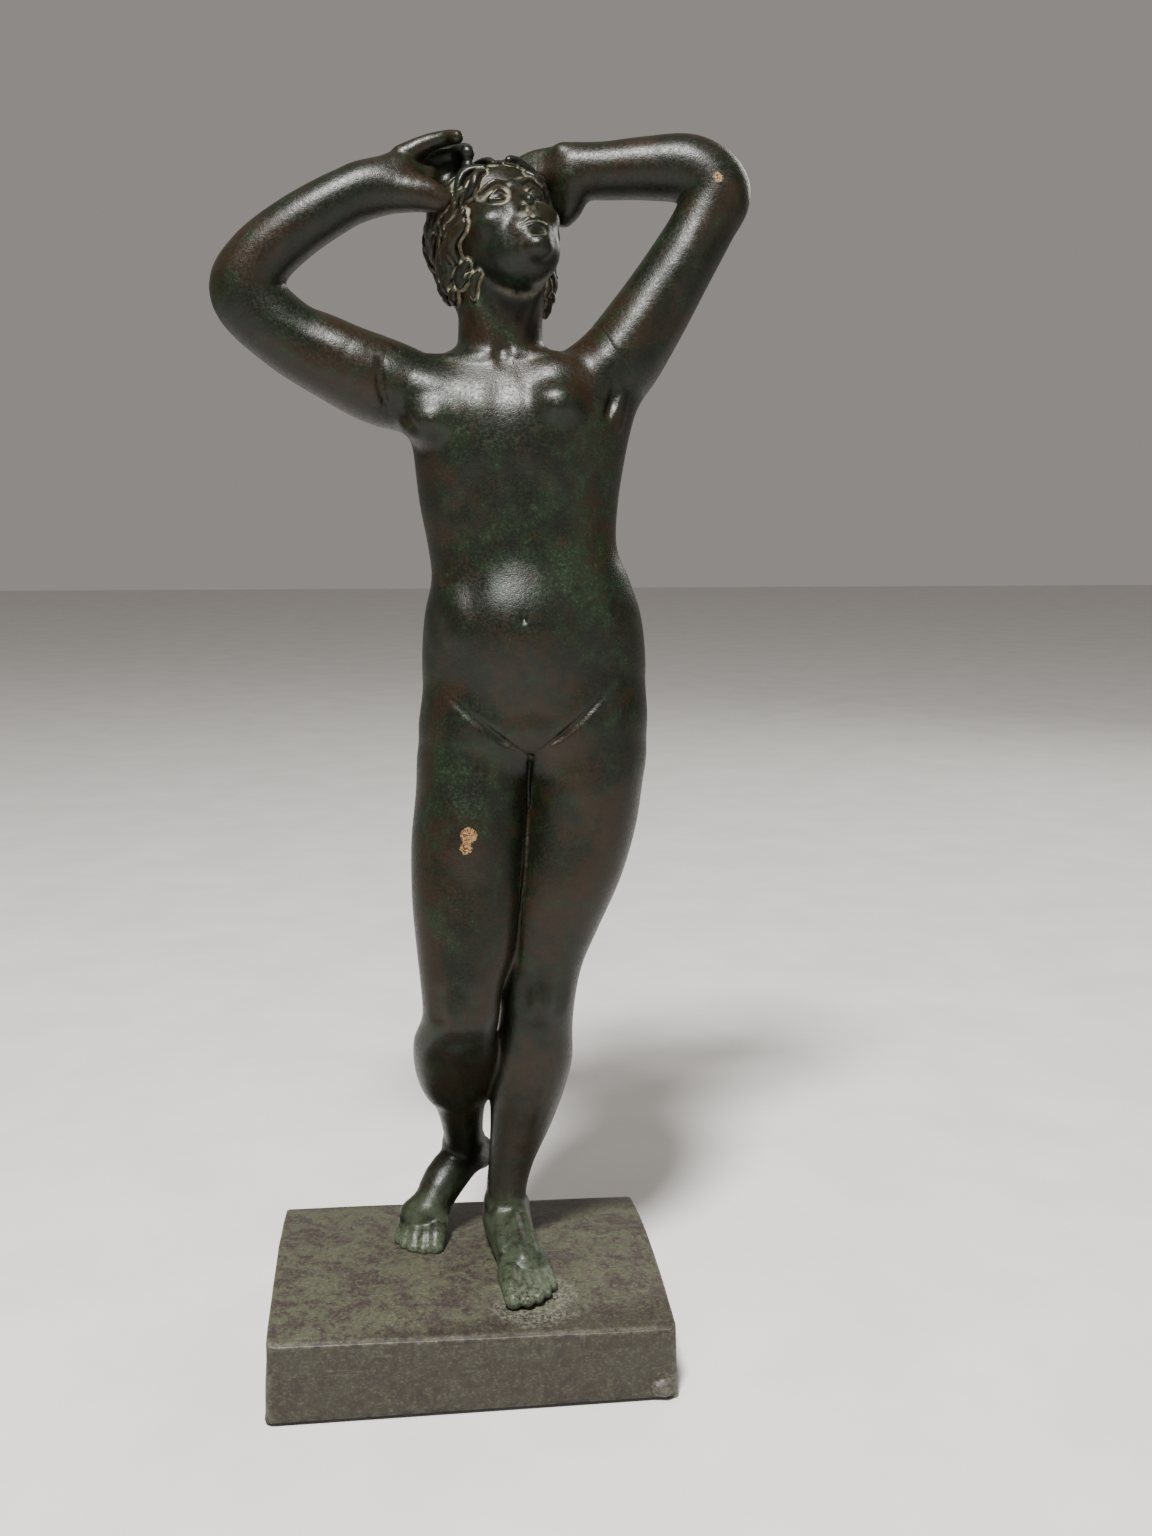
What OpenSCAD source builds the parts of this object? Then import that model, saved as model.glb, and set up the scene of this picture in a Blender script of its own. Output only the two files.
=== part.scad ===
// Bronze statuette: a standing woman with both arms raised to her head, on a low crowned plinth.
// A hollow body casting carries a separately cast head and arms on pinned sleeve joints, and two
// threaded studs hold the feet to the hollow plinth.
// Millimetres. X points to the figure's left, Y to its back, Z up.
// The origin is the middle of the underside.

/* [Plinth] */
// Width of the plinth at its top edge
plinth_w = 125; // [104:1:150]
// Depth of the plinth at its top edge
plinth_d = 94; // [78:1:113]
// Height of the plinth's long edges, from the pad to the top face
plinth_edge_h = 23; // [20:0.5:28]
// Height of the crown of the top face above its long edges
plinth_crown = 4.5; // [3:0.1:6]
// How far each side leans out from top to bottom
plinth_draft = 0.9; // [0.3:0.1:2]
// Thickness of the plinth's cast walls and roof
plinth_wall = 3.5; // [2.5:0.1:4.5]
// Radius of the plinth's upright corners
plinth_corner_r = 3; // [2:0.1:5]
// Sideways fall of the top face, in degrees
plinth_fall = 1; // [0:0.1:1.5]
// Length of the lump of casting flash at the front corner
flash_l = 9; // [5:0.5:14]
// How far the lump of flash stands out of the front face
flash_out = 1.6; // [0.8:0.1:2.5]

/* [Base pad] */
// Thickness of the felt pad under the plinth
pad_t = 1.5; // [1:0.1:3]
// How far the pad's edge lies inside the plinth's edge
pad_inset = 0.6; // [0.2:0.1:2]

/* [Figure] */
// Height of the figure, from its soles to the top of its raised hands
figure_h = 358; // [299:1:430]
// Thickness of the body casting round its hollow core
body_wall = 3.2; // [2.5:0.1:4]
// How deep the soles are let into the plinth's top face
sole_sink = 0.6; // [0.3:0.1:1]

/* [Sleeve joints] */
// Diameter of the head's tenon
neck_tenon_d = 13; // [10:0.1:16]
// Diameter of each arm's tenon
arm_tenon_d = 12; // [10:0.1:15]
// Length of each tenon
tenon_l = 9; // [7:0.1:11]
// Play between a tenon and its socket, on the radius
tenon_clear = 0.15; // [0.05:0.05:0.3]
// Diameter of the pins that lock the tenons
pin_d = 2.4; // [1.8:0.1:3]
// Length of the pins
pin_l = 17; // [14:0.5:20]
// Play round a pin, on the radius
pin_clear = 0.1; // [0.05:0.05:0.2]

/* [Foot fixings] */
// Diameter of the threaded studs
stud_d = 5; // [4:0.1:6]
// How far each stud is screwed into its foot
stud_in_foot = 6; // [5:0.1:7.5]
// Play round a stud in the plinth's roof, on the radius
stud_clear = 0.3; // [0.1:0.05:0.5]
// Play round a stud in its foot, on the radius
stud_grip = 0.08; // [0.05:0.01:0.15]
// Diameter of the bosses that the washers bear on
boss_d = 16; // [14:0.5:20]
// How far the bosses hang below the roof's crown
boss_drop = 7; // [6:0.1:8.5]
// Outer diameter of the washers
washer_d = 12; // [10:0.1:14]
// Thickness of the washers
washer_t = 1; // [0.6:0.1:1.6]
// Width of the nuts across their flats
nut_af = 8; // [7:0.1:10]
// Thickness of the nuts
nut_t = 4; // [3:0.1:5]
// How far each stud stands out below its nut
stud_tail = 1.5; // [0.5:0.1:3]

/* [Core pin plugs] */
// Diameter of the plugs that close the casting's core pin holes
plug_d = 3; // [2:0.1:4]
// Length of each plug
plug_l = 5; // [3:0.1:7]
// Play round a plug, on the radius
plug_clear = 0.05; // [0.02:0.01:0.1]

/* [Hidden] */

bronze = "#26302a";
worn_bronze = "#3a4438";
felt_black = "#121212";
steel = "#8a8d8c";
$fn = 32;
eps = 0.01;
far = 400;

// Heights, from the ground up
plinth_top = pad_t + plinth_edge_h;
crown_top = plinth_top + plinth_crown;
// Radius of the arc that crowns the top face, from its chord and rise
crown_r = (pow(plinth_d / 2, 2) + pow(plinth_crown, 2)) / (2 * plinth_crown);
roof_under = crown_top - plinth_wall;
boss_under = crown_top - boss_drop;

// The figure's landmarks are set out for a figure of this height standing at this level
set_out_h = 358;
set_out_sole = 28.6;
figure_scale = figure_h / set_out_h;

// Places of the two studs, under the left heel and the ball of the right foot
left_stud = [14 * figure_scale, -2 * figure_scale];
right_stud = [-12 * figure_scale, 13 * figure_scale];
studs = [right_stud, left_stud];

// Torso, from the seat up: height, centre x, centre y, half width, half depth
torso = [
    [189, 21.5, 6, 15, 9], [194, 22, 6.5, 27, 17], [202, 23, 7, 35.5, 22.5], [213, 24, 7, 36, 23.5],
    [226, 24, 6, 35.5, 22], [240, 23.5, 4, 34, 20.5], [251, 22.8, 4, 31, 18.5],
    [261, 20.4, 4.5, 29.5, 17.5], [275, 19.4, 5, 31, 18.5], [290, 19.8, 5, 33, 20.5],
    [301, 20, 5, 35, 20], [308, 19, 6, 35, 17], [314, 17.5, 7, 29, 13.5], [319, 15, 8, 19, 11.5],
    [324, 14.2, 8.5, 13.4, 11.7], [330, 14.2, 8.5, 12.8, 11.7]];
neck = [[318, 14.2, 8.5, 13.4, 12], [328, 14.2, 8.5, 12.9, 11.8], [338, 14.6, 8, 12.9, 12.5],
    [346, 14.8, 7, 11, 12]];
left_leg = [
    [208, 41.5, 6, 17.4, 20], [196, 40.5, 6, 19.4, 21], [186, 39.5, 5, 19, 20.5],
    [172, 37.5, 4, 18.8, 19], [156, 33.2, 2, 18.2, 17], [140, 28, 1, 16.2, 14.5],
    [128, 25.2, 0, 13.6, 13], [117, 23.9, -0.5, 12.4, 12.5], [106, 23.4, 1, 12.1, 11.5],
    [94, 22.8, 3, 12.8, 12], [82, 20.8, 5, 12, 11.5], [70, 18.6, 6, 10, 9.5],
    [58, 15.6, 6, 7.6, 7.8], [48, 13.8, 6, 6.7, 8], [38, 13.6, 7, 6.8, 9], [29, 13.6, 7, 6, 9]];
// Right leg, from the hip to the raised heel: centre, half width, half depth
right_leg = [
    [[5.6, 6, 207], 16.8, 19.5], [[4.5, 6, 196], 18, 20], [[3.6, 4, 184], 17.8, 20],
    [[2, 1, 168], 18, 18.5], [[1.2, -3, 152], 17.4, 16.5], [[0.4, -7, 136], 15.4, 14],
    [[-0.9, -10, 124], 13, 12.2], [[-1.4, -10.5, 114], 12.2, 11.5], [[-3.2, -5, 104], 13.4, 11],
    [[-2.8, 3, 94], 13.7, 11], [[-2, 10, 84], 12, 10], [[-0.8, 17, 73], 8.2, 8.5],
    [[0.2, 22, 62], 6.8, 7.6], [[0.6, 26, 54], 6.8, 7]];
breasts = [[-2.5, -6, 297], [36, -6, 302]];
breast_r = 10.5;
seat = [[9, 14, 206], [38.5, 15, 208]];
seat_r = 18;

// Each foot is a row of balls from the heel to the root of the toes, then five toes
left_foot = [[13.4, 14, 35.5, 7.2], [14, 4, 37.5, 8], [15.4, -8, 34.8, 7.6],
    [18.4, -19, 32, 6]];
left_toes = [[13.4, -22, 31.6, 4], [14.2, -33.4, 29.2, 3], [17.8, -22, 31, 2.8],
    [18.6, -34.4, 28.8, 2.2], [20.8, -22, 30.8, 2.7], [22, -32.6, 28.8, 2.1],
    [23, -20, 30.6, 2.7], [24.8, -29.4, 28.9, 2], [24.6, -17, 30.6, 2.8], [26.6, -25, 29.2, 2]];
right_foot = [[5.5, 33, 49.5, 6.2], [0.5, 26, 51, 6.8], [-8.5, 18.5, 45, 7.8],
    [-15, 12.5, 38.4, 8]];
right_toes = [[-9.6, 10, 33.6, 4], [-9.8, 2.6, 30.6, 3], [-12.8, 9.6, 33.8, 3.2],
    [-14, 2.4, 30.2, 2.3], [-15.6, 10.6, 33.8, 3], [-17.4, 4.6, 30.2, 2.2],
    [-17.4, 12.4, 33.6, 2.8], [-20, 7.6, 30.2, 2.1], [-18.6, 14.4, 33.2, 2.8], [-21.6, 10.8, 30.2, 2]];

// Limbs as rows of balls: centre and radius
right_arm_row = [[-9, 7, 307, 11.5], [-21.5, 6, 310.5, 13.2], [-36, 5.5, 316.5, 11.9],
    [-50, 5, 324, 10.8], [-61.8, 4.5, 335.5, 11], [-58, 3, 345, 9.8], [-47.5, 2, 354, 9],
    [-34.5, 2, 362, 8.4], [-22, 3, 368.5, 7.8], [-12.5, 4, 371.5, 7.4]];
left_arm_row = [[40, 7, 308.5, 13.6], [49.5, 6.5, 316.5, 13.2], [59.5, 6, 330.5, 11.9],
    [69, 6.2, 345.5, 10.6], [77, 6.8, 359, 10], [81.3, 8, 369.2, 10.8], [73.5, 10, 376.2, 10.5],
    [60, 13, 376.8, 9.4], [48, 15.5, 376, 8.6], [38, 17, 376, 8.4]];
right_hand_row = [[-12.5, 4, 371.5, 7.4], [-8, 3.5, 371, 8.2]];
left_hand_row = [[38, 17, 376, 8.4], [30, 20, 376, 6.8]];
// Fingers, root and tip: centre and radius
right_fingers = [[-8, 4, 378.5, 3.2], [0.5, -1, 381.6, 2.6], [-6, 3.6, 375.5, 3],
    [3.4, -2, 378, 2.4], [-5, 2.6, 372, 2.9], [2.8, -2, 374, 2.3], [-5, 1.6, 368.5, 2.8],
    [1, -2, 370.5, 2.2], [-12, 0, 366, 4.6], [-5, -1, 362.5, 3.4]];
left_fingers = [[30, 20, 381, 3.2], [19.5, 23.5, 380.4, 2.6], [29, 20.6, 377, 3],
    [16.5, 25, 376.4, 2.4], [28, 21, 373.4, 2.9], [16, 25.5, 372, 2.4], [28, 21, 370, 2.8],
    [18, 25.5, 368.5, 2.3], [36, 15, 368.5, 4.2], [29, 18, 365, 3.2]];
// Row of each arm that lies wholly beyond its seam
arm_clear_of_seam = 3;

// Head: ovals as centre and half sizes
skull = [[13.4, 8, 354.6], [20.6, 21, 20.4]];
face = [[16.4, -3.5, 350], [15, 15.5, 16]];
nape = [[13.8, 16, 343], [18.6, 11.5, 12]];

// Seams: a point on each cut, and the direction that the separate casting lies in
neck_seam = [14, 8, 327];
right_seam = [-22, 6, 311];
right_seam_dir = [-1, 0, 0.08];
left_seam = [49, 6.4, 319.5];
left_seam_dir = [0.84, 0, 0.54];
neck_cut_r = 17;
// Rows of the tables that the hollow core runs between, and the throat that it opens through
core_from = 2;
core_to = 11;
core_knee = 6;
throat_r = 4.5;
throat_lap = 8; // how far the throat's hole starts below the top of the chest
throat_short = 4; // how far it stops below the neck's seam
neck_cut_h = 30;
flash_h = 5;
flash_root = 1; // how far the lump reaches into the walls
flash_tip = 0.75; // where along the lump it stands out most
flash_round = [[1, 0.4], [0.3, 2.5]]; // its outer corner, back from the end and out from the tip

// Core pin plugs: place and outward direction
plug_sites = [[[2.5, -16.8, 170], [0, -1, 0]], [[30, 23, 246], [0, 1, 0]],
    [[33, 19, 160], [0, 1, 0]], [[4, 18.5, 168], [0, 1, 0]]];

// Catmull-Rom point between b and c at t
function between(a, b, c, d, t) =
    0.5 * (2 * b + (c - a) * t + (2 * a - 5 * b + 4 * c - d) * t * t
    + (3 * b - a - 3 * c + d) * t * t * t);
// The rows of a table with extra ones between each pair
function smooth_rows(rows, extra) = [
    for (i = [0 : len(rows) - 2], j = [0 : extra])
        between(rows[max(i - 1, 0)], rows[i], rows[i + 1], rows[min(i + 2, len(rows) - 1)],
            j / (extra + 1)),
    rows[len(rows) - 1]];
// Level rings of an oval limb from rows of height, centre and half sizes
function level_rings(rows, sides, inset = 0) = [
    for (r = rows) [for (k = [0 : sides - 1])
        [r[1] + (r[3] - inset) * cos(360 * k / sides),
         r[2] + (r[4] - inset) * sin(360 * k / sides), r[0]]]];
function as_level(rows) = [for (r = rows) [r[0][2], r[0][0], r[0][1], r[1], r[2]]];

// A closed skin over rings of equal length
module skin(rings) {
    n = len(rings[0]);
    m = len(rings);
    points = [for (r = rings) each r];
    up = rings[m - 1][0][2] > rings[0][0][2];
    sides = [for (i = [0 : m - 2], k = [0 : n - 1])
        let (a = i * n + k, b = i * n + (k + 1) % n)
        up ? [a, a + n, b + n, b] : [a, b, b + n, a + n]];
    floor_face = [for (k = [0 : n - 1]) up ? k : n - 1 - k];
    lid_face = [for (k = [0 : n - 1]) (m - 1) * n + (up ? n - 1 - k : k)];
    polyhedron(points, concat([floor_face], sides, [lid_face]), convexity = 6);
}

// A round limb over a row of balls
module limb(balls, sides = 18) {
    for (i = [0 : len(balls) - 2])
        hull() {
            for (b = [balls[i], balls[i + 1]])
                translate([b[0], b[1], b[2]]) sphere(b[3], $fn = sides);
        }
}

// Fingers or toes, each given by two balls
module digits(balls) {
    for (i = [0 : 2 : len(balls) - 2])
        limb([balls[i], balls[i + 1]], 8);
}

module oval(shape, sides = 28) {
    translate(shape[0]) scale(shape[1]) sphere(1, $fn = sides);
}

// Puts a part that is set out at the landmarks' own height on the plinth, at the figure's size
module on_plinth() {
    translate([0, 0, crown_top - sole_sink])
        scale(figure_scale)
            translate([0, 0, -set_out_sole]) children();
}
// A landmark carried to its place on the plinth
function placed(p) =
    [p[0], p[1], p[2] - set_out_sole] * figure_scale + [0, 0, crown_top - sole_sink];

// Turns +Z to a direction
module facing(dir) {
    rotate([0, acos(dir[2] / norm(dir)), atan2(dir[1], dir[0])]) children();
}
// A big block that fills everything ahead of a seam
module ahead_of(point, dir) {
    translate(point) facing(dir) translate([-far / 2, -far / 2, 0]) cube(far);
}

module plinth_block(grow, top_level) {
    hull() {
        for (end = [[0, plinth_draft], [1, 0]])
            translate([0, 0, end[0] == 0 ? pad_t : top_level])
                linear_extrude(eps)
                    offset(r = plinth_corner_r, $fn = 24)
                        square([plinth_w + 2 * (end[1] + grow - plinth_corner_r),
                            plinth_d + 2 * (end[1] + grow - plinth_corner_r)], center = true);
    }
}
// The crowned shape under the arc, lowered by a wall
module under_crown(lower) {
    translate([0, 0, crown_top - lower])
        rotate([0, plinth_fall, 0])
            translate([0, 0, -crown_r])
                rotate([0, 90, 0])
                    cylinder(h = 2 * plinth_w, r = crown_r, center = true, $fn = 180);
}
module stud_hole(site, play) {
    translate([site[0], site[1], pad_t]) cylinder(h = crown_top, d = stud_d + 2 * play);
}

module plinth() {
    color(bronze)
    difference() {
        union() {
            difference() {
                intersection() {
                    plinth_block(0, crown_top + 1);
                    under_crown(0);
                }
                translate([0, 0, -1])
                intersection() {
                    plinth_block(-plinth_wall, crown_top);
                    under_crown(plinth_wall - 1);
                }
            }
            for (site = studs)
                translate([site[0], site[1], boss_under])
                    cylinder(h = roof_under - boss_under + 1, d = boss_d);
            flash();
        }
        for (site = studs) stud_hole(site, stud_clear);
    }
}

// The rough lump left at the front corner by the mould
module flash() {
    translate([plinth_w / 2 + plinth_draft - flash_l, -plinth_d / 2 - plinth_draft - flash_out, pad_t])
        linear_extrude(flash_h)
            polygon([[0, flash_out + flash_root], [flash_l * flash_tip, 0],
                [flash_l - flash_round[0][0], flash_round[0][1]],
                [flash_l - flash_round[1][0], flash_out + flash_round[1][1]]]);
}

module base_pad() {
    color(felt_black)
    linear_extrude(pad_t)
        offset(r = plinth_corner_r, $fn = 24)
            square([plinth_w + 2 * (plinth_draft - pad_inset - plinth_corner_r),
                plinth_d + 2 * (plinth_draft - pad_inset - plinth_corner_r)], center = true);
}

module tenon(point, dir, d, play = 0) {
    translate(point) facing(-dir) translate([0, 0, -1 - play])
        cylinder(h = tenon_l + 1 + 2 * play, d = d + 2 * play);
}
// The pin through a tenon, level from front to back
module pin(point, dir, play = 0) {
    translate(point - dir / norm(dir) * tenon_l / 2)
        rotate([90, 0, 0]) cylinder(h = pin_l + 2 * play, d = pin_d + 2 * play, center = true);
}
module plug(site, play = 0) {
    translate(placed(site[0])) facing(-site[1])
        translate([0, 0, -play]) cylinder(h = plug_l + 2 * play, d = plug_d + 2 * play);
}

module flesh() {
    skin(level_rings(smooth_rows(torso, 1), 28));
    skin(level_rings(smooth_rows(left_leg, 1), 20));
    skin(level_rings(smooth_rows(as_level(right_leg), 1), 20));
    for (b = breasts) translate(b) sphere(breast_r, $fn = 20);
    for (s = seat) translate(s) sphere(seat_r, $fn = 20);
    limb(left_foot, 14);
    digits(left_toes);
    limb(right_foot, 14);
    digits(right_toes);
    limb([right_arm_row[0], right_arm_row[1]]);
    limb([left_arm_row[0], left_arm_row[1], left_arm_row[2]]);
}

// The hollow left by the core: belly, chest, thighs and a throat up to the neck socket
module core() {
    inset = body_wall / figure_scale;
    chest_rows = [for (i = [core_from : core_to]) torso[i]];
    skin(level_rings(chest_rows, 20, inset));
    for (leg = [left_leg, as_level(right_leg)])
        skin(level_rings([for (i = [0 : core_knee]) leg[i]], 14, inset));
    translate([neck_seam[0], neck_seam[1], torso[core_to][0] - throat_lap])
        cylinder(h = neck_seam[2] - throat_short - torso[core_to][0] + throat_lap, r = throat_r);
}

module body() {
    color(bronze)
    difference() {
        on_plinth() difference() {
            flesh();
            core();
            ahead_of(right_seam, right_seam_dir);
            ahead_of(left_seam, left_seam_dir);
            translate(neck_seam) cylinder(h = neck_cut_h, r = neck_cut_r);
        }
        under_crown(0);
        tenon(placed(neck_seam), [0, 0, 1], neck_tenon_d, tenon_clear);
        tenon(placed(right_seam), right_seam_dir, arm_tenon_d, tenon_clear);
        tenon(placed(left_seam), left_seam_dir, arm_tenon_d, tenon_clear);
        pin(placed(neck_seam), [0, 0, 1], pin_clear);
        pin(placed(right_seam), right_seam_dir, pin_clear);
        pin(placed(left_seam), left_seam_dir, pin_clear);
        for (site = studs) stud(site, stud_grip);
        for (site = plug_sites) plug(site, plug_clear);
    }
}

// The skull with its hair, down to the nape
module head_mass() {
    hull() { oval(skull); oval(face); }
    hull() { oval(skull); oval(nape); }
}

module head() {
    color(bronze)
    difference() {
        union() {
            on_plinth() difference() {
                union() {
                    skin(level_rings(smooth_rows(neck, 1), 28));
                    head_mass();
                }
                translate([0, 0, neck_seam[2] - far]) linear_extrude(far)
                    square(far, center = true);
            }
            tenon(placed(neck_seam), [0, 0, 1], neck_tenon_d);
        }
        pin(placed(neck_seam), [0, 0, 1], pin_clear);
    }
}

// An arm casting: the limb beyond its seam, its tenon, and its hand, which fits against the hair
module arm(row, hand, fingers, seam, dir) {
    color(bronze)
    difference() {
        union() {
            on_plinth() intersection() {
                limb([for (i = [0 : arm_clear_of_seam]) row[i]]);
                ahead_of(seam, dir);
            }
            on_plinth() difference() {
                union() {
                    limb([for (i = [arm_clear_of_seam : len(row) - 1]) row[i]]);
                    limb(hand, 16);
                    digits(fingers);
                }
                head_mass();
            }
            tenon(placed(seam), dir, arm_tenon_d);
        }
        pin(placed(seam), dir, pin_clear);
    }
}
module right_arm() { arm(right_arm_row, right_hand_row, right_fingers, right_seam, right_seam_dir); }
module left_arm() { arm(left_arm_row, left_hand_row, left_fingers, left_seam, left_seam_dir); }

module neck_pin() { color(worn_bronze) pin(placed(neck_seam), [0, 0, 1]); }
module right_arm_pin() { color(worn_bronze) pin(placed(right_seam), right_seam_dir); }
module left_arm_pin() { color(worn_bronze) pin(placed(left_seam), left_seam_dir); }

// A threaded stud, from below its nut up into the foot
module stud(site, play = 0) {
    bottom = boss_under - washer_t - nut_t - stud_tail;
    translate([site[0], site[1], bottom])
        cylinder(h = crown_top + stud_in_foot + play - bottom, d = stud_d + 2 * play);
}
module right_foot_stud() { color(steel) stud(right_stud); }
module left_foot_stud() { color(steel) stud(left_stud); }

module foot_washers() {
    color(steel)
    for (site = studs)
        translate([site[0], site[1], boss_under - washer_t]) difference() {
            cylinder(h = washer_t, d = washer_d);
            translate([0, 0, -1]) cylinder(h = washer_t + 2, d = stud_d + 2 * stud_clear);
        }
}
module foot_nuts() {
    color(steel)
    for (site = studs)
        translate([site[0], site[1], boss_under - washer_t - nut_t]) difference() {
            cylinder(h = nut_t, d = nut_af / cos(30), $fn = 6);
            translate([0, 0, -1]) cylinder(h = nut_t + 2, d = stud_d);
        }
}
module core_pin_plugs() {
    color(worn_bronze)
    for (site = plug_sites) plug(site);
}

plinth();
base_pad();
body();
head();
right_arm();
left_arm();
neck_pin();
right_arm_pin();
left_arm_pin();
right_foot_stud();
left_foot_stud();
foot_washers();
foot_nuts();
core_pin_plugs();
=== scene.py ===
import math

import bmesh
import bpy
import numpy as np
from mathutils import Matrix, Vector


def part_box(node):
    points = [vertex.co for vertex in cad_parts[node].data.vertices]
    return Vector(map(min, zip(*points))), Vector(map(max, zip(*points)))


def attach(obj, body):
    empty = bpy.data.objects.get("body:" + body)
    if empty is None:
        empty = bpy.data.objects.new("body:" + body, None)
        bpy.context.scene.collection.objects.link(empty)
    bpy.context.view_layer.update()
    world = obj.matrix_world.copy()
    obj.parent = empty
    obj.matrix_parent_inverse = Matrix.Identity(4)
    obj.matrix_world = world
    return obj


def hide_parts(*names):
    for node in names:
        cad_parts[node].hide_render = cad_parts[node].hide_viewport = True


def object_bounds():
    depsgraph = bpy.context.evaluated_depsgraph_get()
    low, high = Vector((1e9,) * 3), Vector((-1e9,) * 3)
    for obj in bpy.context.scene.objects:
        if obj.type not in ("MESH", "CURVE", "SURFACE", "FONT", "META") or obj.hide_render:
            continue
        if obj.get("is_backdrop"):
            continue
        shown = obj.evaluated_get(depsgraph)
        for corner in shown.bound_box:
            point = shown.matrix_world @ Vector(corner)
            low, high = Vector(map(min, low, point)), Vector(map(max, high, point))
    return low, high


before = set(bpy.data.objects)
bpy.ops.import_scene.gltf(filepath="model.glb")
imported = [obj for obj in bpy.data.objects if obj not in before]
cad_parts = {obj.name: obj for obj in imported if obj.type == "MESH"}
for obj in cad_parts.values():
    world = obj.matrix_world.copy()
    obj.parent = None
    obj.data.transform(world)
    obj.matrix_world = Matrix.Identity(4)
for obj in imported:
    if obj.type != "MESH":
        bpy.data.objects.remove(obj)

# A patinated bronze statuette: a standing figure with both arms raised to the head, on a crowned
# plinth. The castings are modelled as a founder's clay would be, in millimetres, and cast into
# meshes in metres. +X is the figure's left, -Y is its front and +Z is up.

import openvdb
from mathutils import Matrix, Vector, noise

cad_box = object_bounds()
MM = 0.001


# ---- the frame

def node_box(name):
    """A node's lowest and highest corners in millimetres."""
    low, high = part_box(name)
    return np.array(low) / MM, np.array(high) / MM


# The figure is set out so that the middle of its neck pin is here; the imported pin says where
# the founder put it.
SET_OUT_PIN = np.array([14, 8, 322.5])
pin_low, pin_high = node_box("neck_pin")
PLACE = (pin_low + pin_high) / 2 - SET_OUT_PIN
plinth_low, plinth_high = node_box("plinth")
pad_low, pad_high = node_box("base_pad")


def show(name, data):
    """A new object in the scene."""
    shown = bpy.data.objects.new(name, data)
    bpy.context.collection.objects.link(shown)
    return shown


# ---- clay

# Each casting runs on a little past its seam, sinking under the skin of its neighbour.
LAP = 2.4
SINK = 0.17


def blend_min(a, b, reach):
    """The nearer of two distances, with their meeting rounded over a reach."""
    if reach <= 0:
        return np.minimum(a, b)
    overlap = np.maximum(reach - np.abs(a - b), 0)
    return np.minimum(a, b) - overlap * overlap / (4 * reach)


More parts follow.
